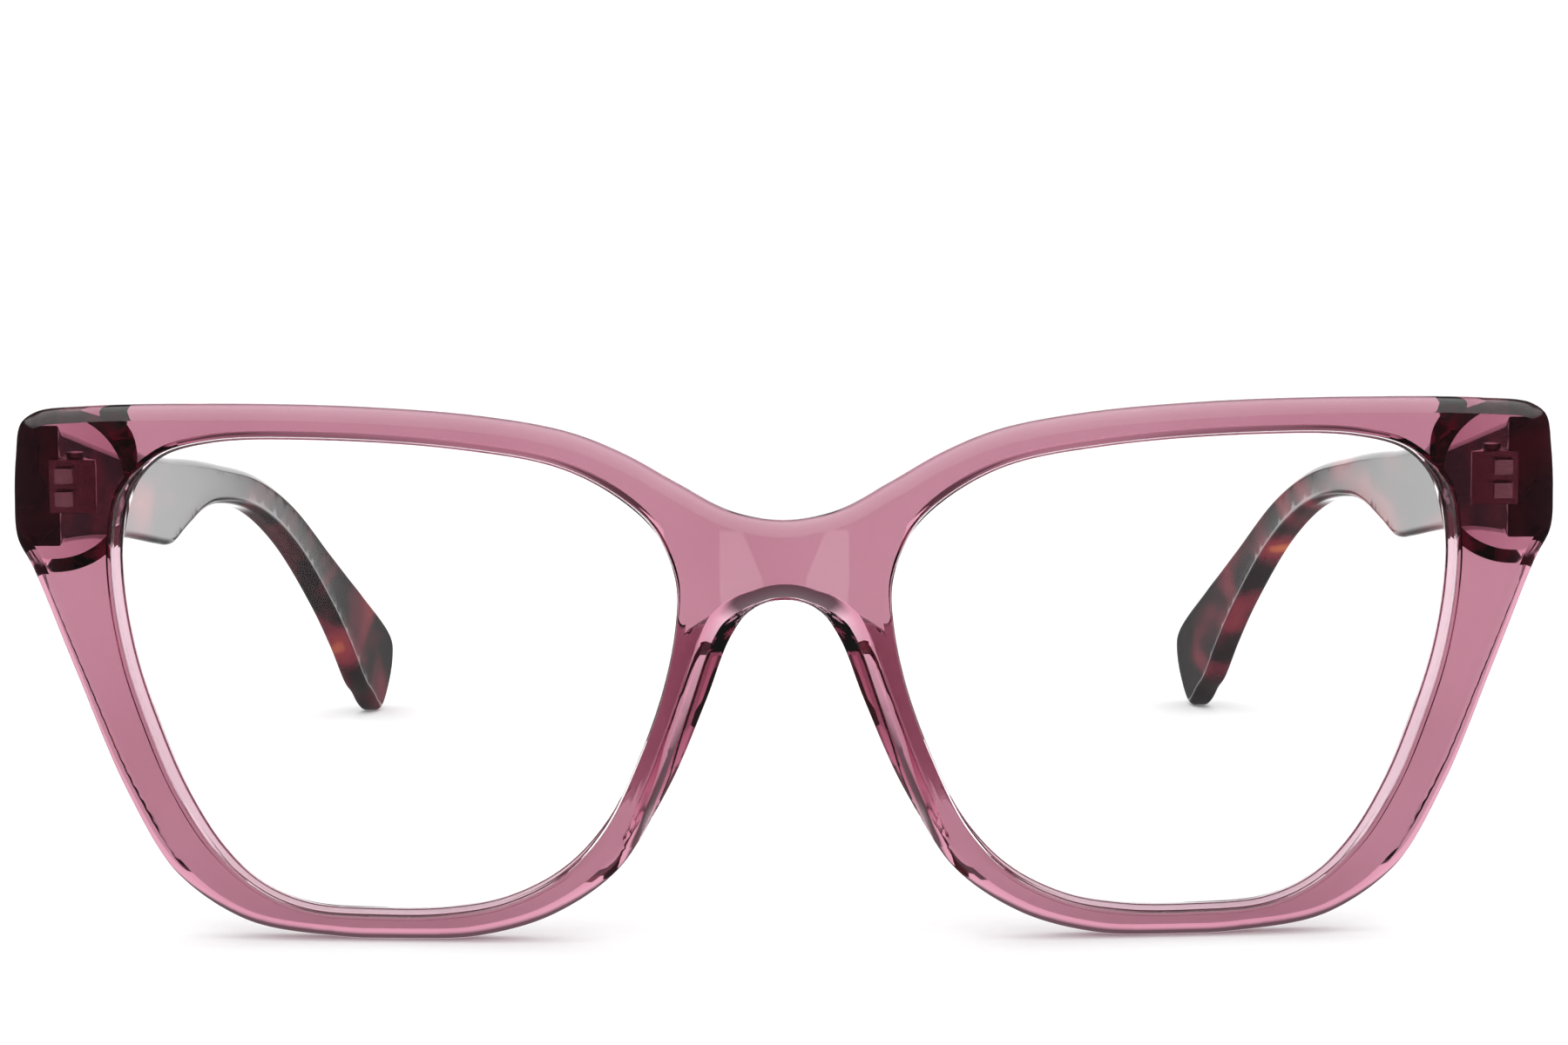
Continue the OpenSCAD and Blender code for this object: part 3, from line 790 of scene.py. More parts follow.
@dataclass
class FrontPiece:
    """The milled front with its built-up nose pads, one continuous body of crystal acetate."""

    shape: FrontShape
    # Spacing of the stations round the edges, of the points inside the faces and along the boss's crease
    # lines, and how far those lines stop short of the front's side
    station_mm: float = 0.45
    face_mm: float = 1.3
    guide_mm: float = 0.5
    guide_shy: float = 0.6
    # Points across an opening's bevel and its rear rounding, and along the boss's arc
    bevel_points: int = 6
    opening_points: int = 5
    arc_points: int = 90
    # Rounding of the front edge: across the face, and into its depth at the sides and at brow and foot
    front_round: float = 1.35
    front_round_deep: float = 1.1
    brow_round_deep: float = 2.2
    # How level the edge is where the one depth starts to turn into the other, and over which it does
    brow_turn: tuple[float, float] = (0.6, 0.3)
    # Rounding of the back edge, and of the rear edge of an opening
    back_round: float = 1.1
    opening_round: float = 0.6
    # Angles of the quarter circle at which the rounding and the opening's bevel start, with a crease
    front_crease: float = 45.0
    bevel_crease: float = 35.0
    # Lens groove: where it starts and ends behind the front face, and how deep it is cut
    groove_start: float = 0.78
    groove_end: float = 2.62
    groove_depth: float = 0.5
    # Bevel of the opening's front edge, the wider one at the nose, and the greatest depth of both
    lip_bevel: float = 0.25
    nose_bevel: float = 0.85
    bevel_deep: float = 0.5
    # How far the edge faces the nose where the wider bevel starts, and over which it comes in
    bevel_turn: tuple[float, float] = (0.55, 0.35)
    # Sunk seat of the hinge leaf and of its two anchors; a corner's radius also spaces the stations there
    leaf_low: tuple[float, float] = (64.42, 39.97)
    leaf_high: tuple[float, float] = (68.88, 45.03)
    leaf_corner: float = 0.4
    leaf_sink: float = 0.73
    anchor_x: tuple[float, float] = (66.52, 68.28)
    anchor_half_h: float = 0.73
    anchor_corner: float = 0.2
    anchor_pitch: float = 2.2
    anchor_sink: float = 2.03
    # Where the outline belongs to the nose: half the width, and the height as a share of the front's
    nose_half_w: float = 17.0
    nose_top: float = 0.64
    # Width of the slanted flank along the nose arch: distance from the arch's top, and width there
    flank_width: Pairs = ((0, 1.9), (2.5, 2.0), (4, 2.5), (5.5, 2.9), (8, 2.75), (13, 2.6), (18, 2.15),
                          (26, 0.9), (29, 0.65))
    # Depth of the flank, distance from the arch's top at which it has gone, and over which it fades
    flank_depth: float = 3.5
    flank_end: float = 30.0
    flank_fade: float = 6.0
    # Section of the flank: share of its width that is left, and share of its depth
    flank_section: Pairs = ((1, 0), (0.93, 0.035), (0.75, 0.2), (0.5, 0.45), (0.25, 0.72), (0.08, 0.9),
                            (0.015, 0.97), (0, 1))
    # Share of a pad's full size by height above the table, and how far its back edge stops short of its
    # root at the head and at the foot
    pad_swell: Pairs = ((7.5, 0), (9, 0.22), (11, 0.45), (14, 0.68), (17.5, 0.82), (24, 0.95), (30, 1),
                        (31.5, 0.7), (32.3, 0))
    pad_shy: float = 3.0
    # A pad's section, seen from above: distance out from the arch, and distance behind the rim
    pad_section: Pairs = ((0, -0.4), (0.05, 0.25), (0.35, 1.9), (1.15, 4.2), (2.2, 6.0), (3.1, 6.6),
                          (4.1, 6.4), (4.6, 5.4), (3.8, 3.2), (3.0, 1.2), (2.8, 0.3), (2.6, 0))

    def front_edge(self, path: np.ndarray, inwards: np.ndarray, nose: np.ndarray) -> np.ndarray:
        """Builds the front half of the sections round the outline: a rounding, and a flank at the nose.

        Args:
            path: Stations of the outline.
            inwards: The outline's inward normals.
            nose: True for each station at the nose.

        Returns:
            Points by station and by place in the section.
        """
        steps = np.linalg.norm(np.diff(path, axis=0), axis=1)
        run = np.concatenate([[0], np.cumsum(steps)])
        from_arch = np.minimum(run, run[-1] + steps[0] - run)
        flank = np.where(nose, fade((self.flank_end - from_arch) / self.flank_fade), 0.0)[:, None]
        width = np.interp(from_arch, *zip(*self.flank_width))[:, None]
        slant_in, slant_deep = np.array(self.flank_section, float).T
        round_in, round_deep = creased_round(self.front_crease, len(slant_in))
        start, over = self.brow_turn
        level = fade((np.abs(inwards[:, 1:]) - start) / over)
        deepest = self.front_round_deep + (self.brow_round_deep - self.front_round_deep) * level
        near_in = (1 - flank) * self.front_round * round_in + flank * width * slant_in
        near_deep = (1 - flank) * deepest * round_deep + flank * self.flank_depth * slant_deep
        x = path[:, :1] + inwards[:, :1] * near_in
        z = path[:, 1:] + inwards[:, 1:] * near_in
        return np.stack([x, self.shape.wrapped(x) + near_deep, z], axis=2)

    def back_edge(self, path: np.ndarray, inwards: np.ndarray, nose: np.ndarray) -> np.ndarray:
        """Builds the back half of the sections round the outline: a rounding, and a pad at the nose.

        Args:
            path: Stations of the outline.
            inwards: The outline's inward normals.
            nose: True for each station at the nose.

        Returns:
            Points by station and by place in the section.
        """
        section = smooth_curve(self.pad_section, 2, False)
        out, behind = section[:, 0], section[:, 1]
        turn = np.radians(np.linspace(0, 90, len(section)))
        far_in = self.back_round * (1 - np.cos(turn))
        far_deep = -self.back_round * (1 - np.sin(turn))
        shy = self.pad_shy * np.clip(behind / behind.max(), 0, 1) ** 1.5
        heights, shares = zip(*self.pad_swell)
        swell = np.minimum(np.interp(path[:, 1:] + shy, heights, shares),
                           np.interp(path[:, 1:] - shy, heights, shares))
        swell = np.where(nose[:, None], swell, 0.0)
        plain = 1 - swell
        x = path[:, :1] + plain * inwards[:, :1] * far_in + swell * np.sign(path[:, :1]) * out
        z = path[:, 1:] + plain * inwards[:, 1:] * far_in
        return np.stack([x, self.shape.back(x, z) + plain * far_deep + swell * behind, z], axis=2)

    def outline_rings(self) -> np.ndarray:
        """Builds the sections round the outline, from the front face to the back face.

        Returns:
            Points by station and by place in the section.
        """
        path = self.shape.outline(self.station_mm)
        inwards = loop_normals(path, True)
        nose = (np.abs(path[:, 0]) < self.nose_half_w) & (path[:, 1] < self.shape.front_h * self.nose_top)
        return np.concatenate([self.front_edge(path, inwards, nose), self.back_edge(path, inwards, nose)],
                              axis=1)

    def opening_rings(self) -> np.ndarray:
        """Builds the sections round the right opening, with its bevel and lens groove.

        Returns:
            Points by station and by place in the section.
        """
        shape = self.shape
        path = shape.opening(self.station_mm)
        away = loop_normals(path, False)
        x, z = path[:, 0], path[:, 1]
        lip = shape.lip(away)[:, None]
        round_in, round_deep = creased_round(self.bevel_crease, self.bevel_points)
        middle = (self.groove_start + self.groove_end) / 2
        start, over = self.bevel_turn
        nasal = fade((-away[:, :1] - start) / over)
        bevel = self.lip_bevel + (self.nose_bevel - self.lip_bevel) * nasal
        near_in = lip + bevel * round_in
        near_deep = np.minimum(bevel, self.bevel_deep) * round_deep
        groove_in = np.concatenate([lip, lip + self.groove_depth, lip + self.groove_depth / 3,
                                    np.zeros_like(lip)], axis=1)
        groove_deep = np.tile([self.groove_start, middle, self.groove_end, self.groove_end], (len(path), 1))
        offset = np.concatenate([near_in, groove_in], axis=1)
        deep = np.concatenate([near_deep, groove_deep], axis=1)
        near_x = x[:, None] + away[:, :1] * offset
        near_z = z[:, None] + away[:, 1:] * offset
        near = np.stack([near_x, shape.wrapped(near_x, deep), near_z], axis=2)
        turn = np.radians(np.linspace(0, 90, self.opening_points))
        far_in = self.opening_round * (1 - np.cos(turn))
        far_deep = self.opening_round * (1 - np.sin(turn))
        far_x = x[:, None] + away[:, :1] * far_in
        far_z = z[:, None] + away[:, 1:] * far_in
        far = np.stack([far_x, shape.back(far_x, far_z) - far_deep, far_z], axis=2)
        return np.concatenate([near, far], axis=1)

    def boss_guides(self) -> list[np.ndarray]:
        """Draws the lines between which the right hinge boss rises from the back face.

        Returns:
            The inner and the outer line, in X and Z.
        """
        shape = self.shape
        turn = np.linspace(-math.pi / 2, math.pi / 2, self.arc_points)
        end_x = shape.half_w - self.guide_shy
        guides = []
        for share in (0.0, 1.0):
            radius = np.full(len(turn), shape.boss_r)
            # The slope gets wider further up, so the outer line is found in a few rounds
            for _ in range(8):
                radius = shape.boss_r + share * shape.slope_width(radius * np.sin(turn))
            x = shape.boss_x - radius * np.cos(turn)
            z = shape.hinge_z + radius * np.sin(turn)
            arc = np.stack([x, z], axis=1)
            line = np.concatenate([[[end_x, z[0]]], arc, [[end_x, z[-1]]]])
            guides.append(even_stations(line, self.guide_mm, False))
        return guides

    def sink_leaf_seat(self, build: MeshBuild, turn: int) -> np.ndarray:
        """Adds the sunk seat of one hinge leaf and its anchors.

        Args:
            build: Mesh that takes the seat.
            turn: 1 for the right side and -1 for the left.

        Returns:
            Numbers of the seat's rim on the back face.
        """
        shape = self.shape

        def placed(loop: np.ndarray, depth: float) -> np.ndarray:
            """Places a flat loop at a depth on this side."""
            return np.stack([loop[:, 0] * turn, np.full(len(loop), depth), loop[:, 1]], axis=1)

        def flat_at(depth: float) -> Callable[[np.ndarray], np.ndarray]:
            """Gives a function that places flat points of the cap at a depth."""
            return lambda flat: np.stack([flat[:, 0], np.full(len(flat), depth), flat[:, 1]], axis=1)

        leaf = rounded_box_loop(self.leaf_low, self.leaf_high, self.leaf_corner, self.leaf_corner)
        rim = build.add(placed(leaf, shape.seat_y))
        floor_y = shape.seat_y - self.leaf_sink
        floor = build.wall(rim, placed(leaf, floor_y))
        wells = []
        for level in (-0.5, 0.5):
            middle = shape.hinge_z + level * self.anchor_pitch
            well = rounded_box_loop((self.anchor_x[0], middle - self.anchor_half_h),
                                    (self.anchor_x[1], middle + self.anchor_half_h),
                                    self.anchor_corner, self.anchor_corner)
            mouth = build.add(placed(well, floor_y))
            end_y = floor_y - self.anchor_sink
            bottom = build.wall(mouth, placed(well, end_y))
            build.cap([bottom], (0, 2), flat_at(end_y), self.face_mm)
            wells.append(mouth)
        build.cap([floor] + wells, (0, 2), flat_at(floor_y), self.face_mm)
        return rim

    def build(self, material: bpy.types.Material) -> bpy.types.Object:
        """Builds the front with its pads and dresses it.

        Args:
            material: Finish of the acetate.

        Returns:
            The new piece.
        """
        shape = self.shape
        build = MeshBuild(shape.start_y)
        outline = build.add(self.outline_rings())
        build.bridge(outline)
        build.creases.append(outline[:, 0])
        right = self.opening_rings()
        openings = [build.add(right), build.add(right * [-1, 1, 1])]
        for rings in openings:
            build.bridge(rings)
            build.creases.append(rings[:, 0])
        seats = [self.sink_leaf_seat(build, turn) for turn in (1, -1)]
        build.cap([outline[:, 0]] + [rings[:, 0] for rings in openings], (0, 2), shape.on_face(),
                  self.face_mm)
        guides = self.boss_guides()
        guides += [guide * [-1, 1] for guide in guides]
        build.cap([outline[:, -1]] + [rings[:, -1] for rings in openings] + seats, (0, 2),
                  lambda flat: np.stack([flat[:, 0], shape.back(flat[:, 0], flat[:, 1]), flat[:, 1]], axis=1),
                  self.face_mm, guides)
        piece = build.make("front_with_pads")
        dress(piece, material)
        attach(piece, "front")
        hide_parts("front_frame", "left_nose_pad", "right_nose_pad")
        return piece


@dataclass
class LensPiece:
    """One clear lens with the pointed edge that sits in the rim's groove."""

    shape: FrontShape
    side: Side
    # Depth of the lens's front face behind the front, and its thickness
    front_set: float = 0.9
    thickness: float = 1.6
    # How far the pointed edge reaches into the groove, and its clearance and half its width there
    bite: float = 0.5
    tip_shy: float = 0.08
    tip_half: float = 0.05
    # Clearance of the faces' rims, and the bevel that breaks them
    shy: float = 0.05
    rim_bevel: float = 0.06
    station_mm: float = 0.6
    face_mm: float = 2.2

    def build(self, material: bpy.types.Material) -> bpy.types.Object:
        """Builds the lens and dresses it.

        Args:
            material: Finish of the lens.

        Returns:
            The new piece.
        """
        shape = self.shape
        path = shape.opening(self.station_mm)
        away = loop_normals(path, False)
        back_set = self.front_set + self.thickness
        middle = (self.front_set + back_set) / 2
        rim, broken, tip = -self.shy, -self.shy - self.rim_bevel, self.bite - self.tip_shy
        section = np.array([(broken, self.front_set), (rim, self.front_set + self.rim_bevel),
                            (tip, middle - self.tip_half), (tip, middle + self.tip_half),
                            (rim, back_set - self.rim_bevel), (broken, back_set)])
        offset = shape.lip(away)[:, None] + section[:, 0]
        x = path[:, :1] + away[:, :1] * offset
        z = path[:, 1:] + away[:, 1:] * offset
        rings_at = np.stack([x, shape.wrapped(x, section[:, 1]), z], axis=2)
        build = MeshBuild(shape.start_y)
        rings = build.add(rings_at)
        build.bridge(rings)
        for column, depth in ((0, self.front_set), (-1, back_set)):
            build.cap([rings[:, column]], (0, 2), shape.on_face(depth), self.face_mm)
        piece = build.make(f"{self.side.word}_clear_lens", self.side)
        dress(piece, material)
        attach(piece, "front")
        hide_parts(f"{self.side.word}_lens")
        return piece


@dataclass
class TemplePiece:
    """One tortoise temple: wide at the hinge, stepped down to a slim stem, with a paddle tip."""

    shape: FrontShape
    side: Side
    # Thickness at the butt end and at the tip, and how far the outer face lies in from the front's side
    temple_t: float = 3.2
    tip_t: float = 2.6
    temple_inset: float = 1.0
    wide_h: float = 9.2
    stem_h: float = 4.1
    paddle_h: float = 11.4
    # Angle in degrees by which the temple leans inwards from the hinge on, and the radius of its bow
    splay: float = 6.2
    bow_r: float = 1950.0
    # Rounding of the long edges and of the sawn butt end, and the distance over which one becomes the other
    edge_round: float = 0.9
    butt_round: float = 0.15
    round_change: float = 2.5
    # Spacing of the stations round the edges, of the points inside the faces and round the leaf's seat
    station_mm: float = 0.6
    face_mm: float = 1.5
    leaf_mm: float = 0.4
    # Points across an edge's rounding, and pieces of the side view's curve between two of its points
    round_points: int = 8
    curve_steps: int = 10
    # Sunk seat of the hinge leaf, with the radius of its corners
    leaf_start: float = 1.17
    leaf_length: float = 7.06
    leaf_half_h: float = 2.53
    leaf_corner: float = 0.3
    leaf_sink: float = 0.63

    def face_x(self, y: np.ndarray, thick: float, taper: float) -> np.ndarray:
        """Finds the place in X of a bowed face.

        Args:
            y: Depths.
            thick: How far outboard of the inner face it starts, in mm.
            taper: Angle by which it comes closer to the inner face, in radians.

        Returns:
            Place in X at each depth.
        """
        inner_x = self.shape.half_w - self.temple_inset - self.temple_t
        turn = math.radians(self.splay)
        cx = thick - self.bow_r * math.cos(taper)
        cy = -self.bow_r * math.sin(taper)
        wx = inner_x + cx * math.cos(turn) - cy * math.sin(turn)
        wy = self.shape.seat_y + cx * math.sin(turn) + cy * math.cos(turn)
        return wx + np.sqrt(self.bow_r ** 2 - np.square(y - wy))

    def inner_x(self, y: np.ndarray) -> np.ndarray:
        """Place in X of the inner face at depth y."""
        return self.face_x(y, 0.0, 0.0)

    def outer_x(self, y: np.ndarray) -> np.ndarray:
        """Place in X of the outer face at depth y."""
        taper = math.atan((self.temple_t - self.tip_t) / self.shape.temple_reach)
        return self.face_x(y, self.temple_t, taper)

    def outline(self) -> tuple[np.ndarray, np.ndarray]:
        """Draws the temple's side view.

        Returns:
            Stations in Y and Z, and the distance of each from the butt end's corners.
        """
        shape = self.shape
        wide, stem, paddle = self.wide_h, self.stem_h, self.paddle_h
        step, droop = wide - stem, paddle - stem
        # Place as a share of the reach, top edge as a share of the butt's top, and height there
        rows = [
            (0, 1, shape.butt_h), (0.087, 0.956, (shape.butt_h + wide) / 2), (0.177, 0.909, wide * 1.02),
            (0.278, 0.856, wide), (0.304, 0.844, wide), (0.316, 0.839, wide * 0.98),
            (0.342, 0.83, stem + 0.75 * step), (0.37, 0.82, stem + 0.53 * step),
            (0.4, 0.808, stem + 0.3 * step), (0.448, 0.786, stem * 1.1), (0.565, 0.724, stem),
            (0.681, 0.617, stem * 1.22), (0.797, 0.462, stem + 0.4 * droop),
            (0.855, 0.383, stem + 0.69 * droop), (0.899, 0.323, paddle)]
        tip = [(0.992, 0.182), (1, 0.146), (0.994, 0.086), (0.967, 0.012), (0.954, 0), (0.938, 0.018),
               (0.919, 0.055)]
        top = [(a, b * shape.butt_top) for a, b, _ in rows]
        low = [(a, b * shape.butt_top - height) for a, b, height in reversed(rows)]
        chosen = top + [(a, b * shape.butt_top) for a, b in tip] + low
        placed = [(shape.butt_y + a * shape.temple_reach, z) for a, z in chosen]
        path = smooth_curve(placed, self.curve_steps, False)
        path[:, 1] = np.maximum(path[:, 1], 0)
        long_way = even_stations(path, self.station_mm, False)
        butt = even_stations(np.array([path[-1], path[0]]), self.station_mm, False)[1:-1]
        from_start = np.arange(len(long_way)) * self.station_mm
        corner = np.concatenate([np.minimum(from_start, from_start[::-1]), np.zeros(len(butt))])
        return np.concatenate([long_way, butt]), corner

    def build(self, material: bpy.types.Material) -> bpy.types.Object:
        """Builds the temple with the sunk seat of its hinge leaf and dresses it.

        Args:
            material: Finish of the acetate.

        Returns:
            The new piece.
        """
        shape = self.shape
        path, corner = self.outline()
        inwards = loop_normals(path, True)
        radius = self.butt_round + (self.edge_round - self.butt_round) * fade(corner / self.round_change)
        turn = np.radians(np.linspace(0, 90, self.round_points))
        rounds = radius[:, None] * (1 - np.sin(turn))
        deeps = radius[:, None] * (1 - np.cos(turn))
        inner_y = path[:, :1] + inwards[:, :1] * rounds
        inner_z = path[:, 1:] + inwards[:, 1:] * rounds
        inner = np.stack([self.inner_x(inner_y) + deeps, inner_y, inner_z], axis=2)
        outer = np.stack([self.outer_x(inner_y) - deeps, inner_y, inner_z], axis=2)[:, ::-1]
        build = MeshBuild(shape.start_y)
        rings = build.add(np.concatenate([inner, outer], axis=1))
        build.bridge(rings)

        slope = math.cos(math.radians(self.splay))
        start = shape.seat_y + self.leaf_start * slope
        end = start + self.leaf_length * slope
        low, high = shape.hinge_z - self.leaf_half_h, shape.hinge_z + self.leaf_half_h
        leaf = rounded_box_loop((start, low), (end, high), self.leaf_corner, self.leaf_mm)

        def on_inner(flat: np.ndarray, sink: float = 0.0) -> np.ndarray:
            """Places flat points on the inner face, or sunk into it."""
            return np.stack([self.inner_x(flat[:, 0]) + sink, flat[:, 0], flat[:, 1]], axis=1)

        def on_outer(flat: np.ndarray) -> np.ndarray:
            """Places flat points on the outer face."""
            return np.stack([self.outer_x(flat[:, 0]), flat[:, 0], flat[:, 1]], axis=1)

        rim = build.add(on_inner(leaf))
        floor = build.wall(rim, on_inner(leaf, self.leaf_sink))
        build.cap([floor], (1, 2), lambda flat: on_inner(flat, self.leaf_sink), self.face_mm)
        build.cap([rings[:, 0], rim], (1, 2), on_inner, self.face_mm)
        build.cap([rings[:, -1]], (1, 2), on_outer, self.face_mm)
        piece = build.make(f"{self.side.word}_tortoise_temple", self.side)
        dress(piece, material)
        body = f"{self.side.word}_temple"
        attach(piece, body)
        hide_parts(body)
        return piece


@dataclass
class Hardware:
    """The metal that the CAD model already has in its right shape: hinges, screws and core wires."""

    hinge: BrushedMetal = BrushedMetal("nickel_silver_hinge", "#a39d94", "#948e86", 0.18)
    wire: BrushedMetal = BrushedMetal("drawn_steel_wire", "#c4c4c6", "#a5a6aa", 0.3)

    def dress_nodes(self, nodes: dict[str, bpy.types.Object]) -> None:
        """Gives each carried-over metal node its finish.

        Args:
            nodes: The frame's nodes by name.
        """
        hinge, wire = self.hinge.material(), self.wire.material()
        for side in Side:
            for part in ("front_hinge", "hinge_screw", "temple_hinge"):
                dress(nodes[f"{side.word}_{part}"], hinge)
            dress(nodes[f"{side.word}_core_wire"], wire)


@dataclass(frozen=True)
class Card:
    """A lit or dark card that stands across the view and is only seen as a mirror image."""

    name: str
    # Place along the view, in metres in the shared frame
    y: float
    # Corners of the card on the right, in X and Z, in metres
    corners: Pairs
    # Brightness of the left card and of the right one
    strength: tuple[float, float]

    def stand(self) -> None:
        """Stands the card and its mirror image on the left."""
        for side, strength in zip(Side, self.strength):
            lit = bpy.data.materials.new(f"{side.word}_{self.name}")
            lit.use_nodes = True
            tree = lit.node_tree
            tree.nodes.clear()
            glow = add_node(tree, "ShaderNodeEmission", {"Strength": strength})
            add_node(tree, "ShaderNodeOutputMaterial", links={"Surface": glow.outputs["Emission"]})
            mesh = bpy.data.meshes.new(f"{side.word}_{self.name}")
            mesh.from_pydata([(side.value * x, self.y, z) for x, z in self.corners], [],
                             [tuple(range(len(self.corners)))])
            made = bpy.data.objects.new(mesh.name, mesh)
            bpy.context.scene.collection.objects.link(made)
            dress(made, lit)
            made.visible_camera = False
            made.visible_diffuse = False
            made.visible_transmission = False
            made.visible_shadow = False


def temple_card(name: str, inner: float, outer: float, strength: tuple[float, float]) -> Card:
    """Makes a card that the temples' inner faces mirror.

    Args:
        name: The card's name.
        inner: Its edge next to the middle of the spectacles, in metres.
        outer: Its other edge.
        strength: Brightness of the left card and of the right one.

    Returns:
        The card.
    """
    y, half_h = 0.186, 0.03
    return Card(name, y, ((inner, -half_h), (outer, -half_h), (outer, half_h), (inner, half_h)), strength)


@dataclass
class Studio:
    """Floor, light and camera of a plain product photograph."""

    floor_radius: float = 4.0
    # Brightness of the wall behind, of the ceiling and of the dark room around the camera
    wall_strength: float = 1.7
    ceiling_strength: float = 1.9
    room_strength: float = 0.12
    # Brightness of that room for rays that have passed through acetate or lens, matched to the picture
    through_strength: float = 0.3
    # Brightness of the plain backdrop that the camera sees past the spectacles, and of the light on the floor
    floor_strength: float = 1.35
    # Half the angle over which the wall stands, where its white starts to fall off and where it ends
    wall_half_angle: tuple[float, float] = (24.0, 38.0)
    # Steepness of a ray, as the sine of its angle upwards: where the wall starts to fall off and where it
    # ends, at its top and at its foot, and where the ceiling starts and where it has its full brightness
    wall_top: tuple[float, float] = (0.18, 0.36)
    wall_foot: tuple[float, float] = (-0.2, -0.45)
    ceiling_edge: tuple[float, float] = (0.6, 0.8)
    # Cards out of the picture that the polished faces mirror: the bridge mirrors the bridge light, a
    # temple's wide front part the white card, and its stem the grey and the dark one
    cards: tuple[Card, ...] = (
        Card("bridge_light", -0.224, ((0.0036, 0.0108), (0.012, 0.0108), (0.012, 0.0207), (0.0078, 0.0207),
                                      (0.0042, 0.015)), (1.8, 1.8)),
        temple_card("white_card", 0.0172, 0.034, (1.8, 1.9)),
        temple_card("grey_card", 0.0113, 0.0172, (0.28, 0.65)),
        temple_card("stem_flag", 0.0, 0.0113, (0.16, 0.16)))
    # Camera in the shared frame, in metres and degrees
    camera_at: tuple[float, float, float] = (0.0, -0.523965, 0.09332)
    pitch: float = 6.804
    roll: float = -0.36
    focal_mm: float = 112.5
    sensor_mm: float = 36.0

    def floor(self) -> None:
        """Lays the white floor, which the polished faces don't mirror."""
        mesh = bpy.data.meshes.new("studio_floor")
        disc = bmesh.new()
        bmesh.ops.create_circle(disc, cap_ends=True, radius=self.floor_radius, segments=96)
        disc.to_mesh(mesh)
        disc.free()
        made = bpy.data.objects.new("studio_floor", mesh)
        bpy.context.scene.collection.objects.link(made)
        dress(made, MattSweepPaper().material())
        made.visible_glossy = False

    def wall_and_room(self, tree: bpy.types.NodeTree, way: bpy.types.NodeSocket, up: bpy.types.NodeSocket,
                      through: bpy.types.NodeSocket) -> bpy.types.NodeSocket:
        """Adds the white wall behind, which fades into the dark room on all its sides.

        Args:
            tree: Node tree of the world.
            way: Direction of the ray.
            up: Its height, which is the sine of its angle upwards.
            through: 1 for a ray that has passed through acetate or lens, otherwise 0.

        Returns:
            Brightness of the wall and of the room.
        """
        level = add_node(tree, "ShaderNodeVectorMath", {"operation": "MULTIPLY", 1: (1.0, 1.0, 0.0)},
                         {0: way})
        heading = add_node(tree, "ShaderNodeVectorMath", {"operation": "NORMALIZE"},
                           {0: level.outputs["Vector"]})
        ahead = add_node(tree, "ShaderNodeSeparateXYZ", links={"Vector": heading.outputs["Vector"]})
        full, gone = (math.cos(math.radians(angle)) for angle in self.wall_half_angle)
        wall = add_node(tree, "ShaderNodeMapRange",
                        {"interpolation_type": "SMOOTHSTEP", "From Min": gone, "From Max": full,
                         "To Min": 0.0, "To Max": self.wall_strength - self.room_strength},
                        {"Value": ahead.outputs["Y"]})
        foot, head = (add_node(tree, "ShaderNodeMapRange",
                               {"interpolation_type": "SMOOTHSTEP", "From Min": end, "From Max": start},
                               {"Value": up}).outputs["Result"]
                      for start, end in (self.wall_foot, self.wall_top))
        high = add_node(tree, "ShaderNodeMath", {"operation": "MULTIPLY"}, {0: foot, 1: head})
        room = add_node(tree, "ShaderNodeMapRange",
                        {"To Min": self.room_strength, "To Max": self.through_strength}, {"Value": through})
        both = add_node(tree, "ShaderNodeMath", {"operation": "MULTIPLY_ADD"},
                        {0: wall.outputs["Result"], 1: high.outputs["Value"], 2: room.outputs["Result"]})
        return both.outputs["Value"]

    def light(self) -> None:
        """Surrounds the scene with a white wall and ceiling and a dark room behind the camera."""
        world = bpy.data.worlds.new("white_studio")
        world.use_nodes = True
        tree = world.node_tree
        tree.nodes.clear()
        way = add_node(tree, "ShaderNodeTexCoord").outputs["Generated"]
        up = add_node(tree, "ShaderNodeSeparateXYZ", links={"Vector": way}).outputs["Z"]
        ray = add_node(tree, "ShaderNodeLightPath")
        standing = self.wall_and_room(tree, way, up, ray.outputs["Is Transmission Ray"])
        start, full = self.ceiling_edge
        ceiling = add_node(tree, "ShaderNodeMapRange",
                           {"interpolation_type": "SMOOTHSTEP", "From Min": start, "From Max": full,
                            "To Max": self.ceiling_strength}, {"Value": up})
        brightest = add_node(tree, "ShaderNodeMath", {"operation": "MAXIMUM"},
                             {0: standing, 1: ceiling.outputs["Result"]})
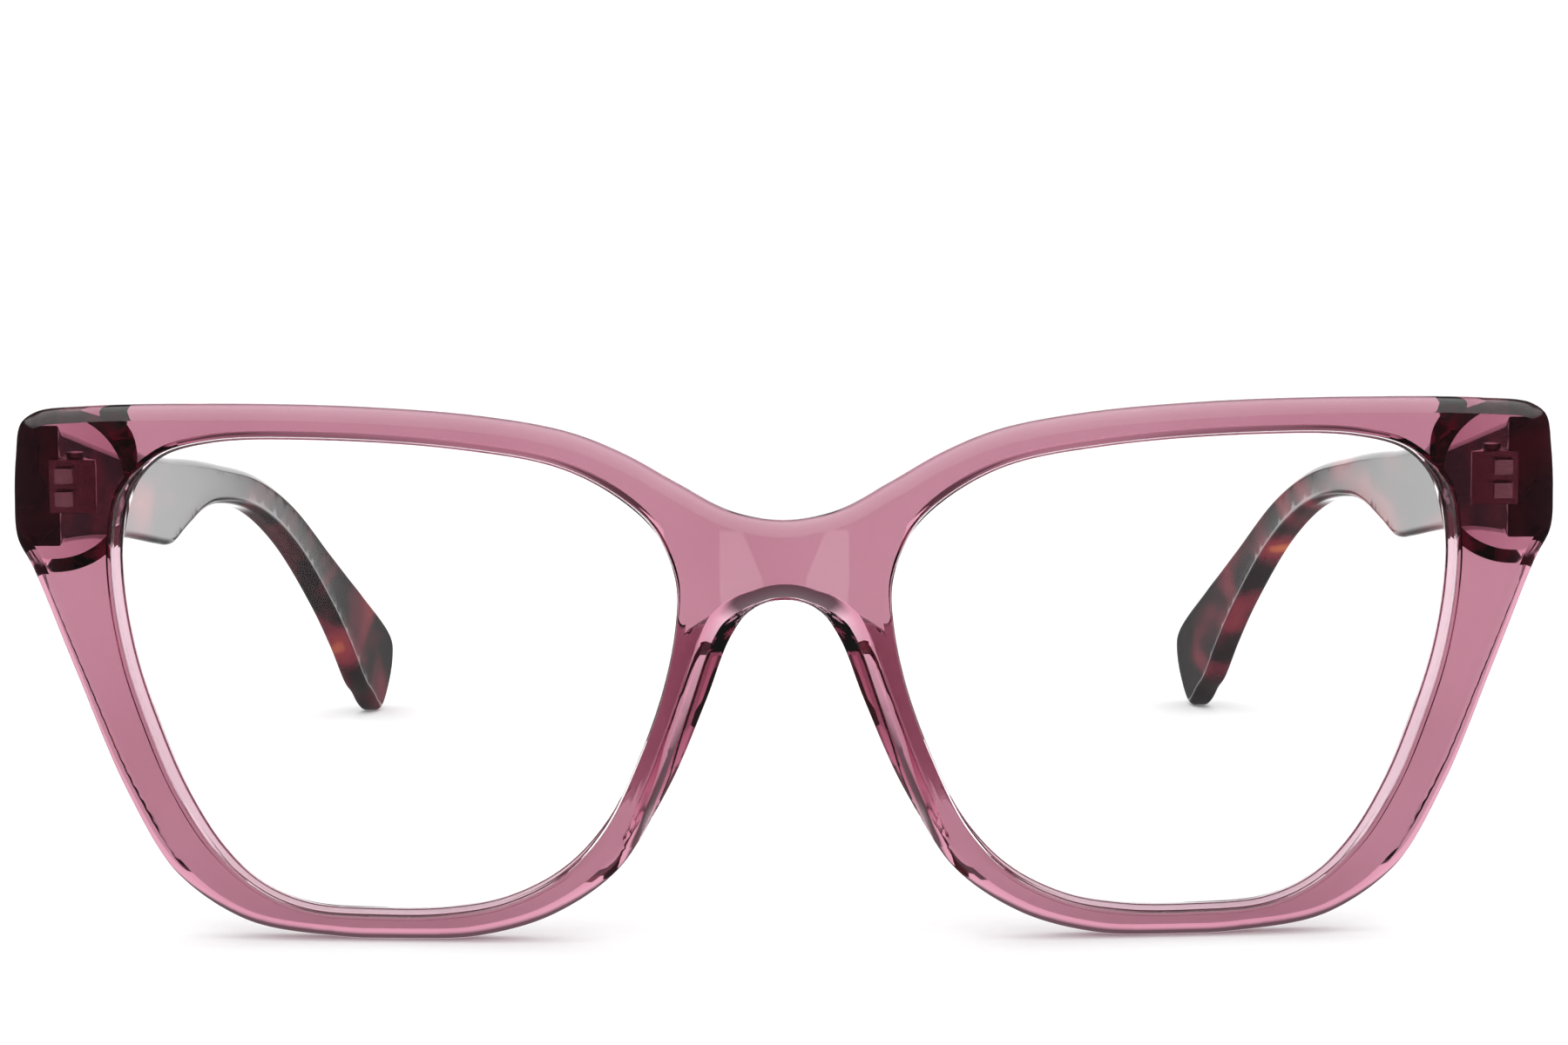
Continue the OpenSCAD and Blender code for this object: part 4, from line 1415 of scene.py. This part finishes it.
        # The camera's own rays and those that have met a matt surface find the plain backdrop instead
        even = add_node(tree, "ShaderNodeMath", {"operation": "MAXIMUM"},
                        {0: ray.outputs["Is Camera Ray"], 1: ray.outputs["Diffuse Depth"]})
        plain = add_node(tree, "ShaderNodeMix", {"data_type": "FLOAT", "B": self.floor_strength},
                         {"Factor": even.outputs["Value"], "A": brightest.outputs["Value"]})
        sky = add_node(tree, "ShaderNodeBackground", {"Color": linear("#ffffff")},
                       {"Strength": plain.outputs[0]})
        add_node(tree, "ShaderNodeOutputWorld", links={"Surface": sky.outputs["Background"]})
        bpy.context.scene.world = world

    def camera(self) -> None:
        """Sets up the camera of the photograph."""
        data = bpy.data.cameras.new("camera")
        data.lens = self.focal_mm
        data.sensor_width = self.sensor_mm
        made = bpy.data.objects.new("camera", data)
        bpy.context.scene.collection.objects.link(made)
        tilt = Matrix.Rotation(math.radians(90 - self.pitch), 4, "X")
        made.matrix_world = (Matrix.Translation(self.camera_at) @ tilt
                             @ Matrix.Rotation(math.radians(self.roll), 4, "Z"))
        bpy.context.scene.camera = made

    def render_settings(self) -> None:
        """Sets the light paths that clear acetate needs, and a plain view of colours."""
        scene = bpy.context.scene
        scene.view_settings.view_transform = "Standard"
        scene.view_settings.look = "None"
        cycles = scene.cycles
        cycles.use_denoising = True
        cycles.max_bounces = 24
        cycles.diffuse_bounces = 4
        cycles.glossy_bounces = 12
        cycles.transmission_bounces = 16
        cycles.transparent_max_bounces = 16
        cycles.caustics_reflective = True
        cycles.caustics_refractive = True


def main() -> None:
    """Builds every piece in order and reports each of them."""
    logging.basicConfig(level=logging.INFO, format="%(name)s: %(message)s")
    studio = Studio()
    studio.camera()
    studio.floor()
    studio.light()
    for card in studio.cards:
        card.stand()
    studio.render_settings()
    shape = FrontShape()
    plum = TumbledCrystalAcetate().material()
    tortoise = PolishedTortoiseAcetate().material()
    clear = PolishedLensPlastic().material()
    pieces = [FrontPiece(shape).build(plum)]
    for side in Side:
        pieces.append(LensPiece(shape, side).build(clear))
        pieces.append(TemplePiece(shape, side).build(tortoise))
    Hardware().dress_nodes(frame["nodes"])
    for piece in pieces:
        LOG.info("%s: %d faces", piece.name, len(piece.data.polygons))


if __name__ == "__main__":
    main()
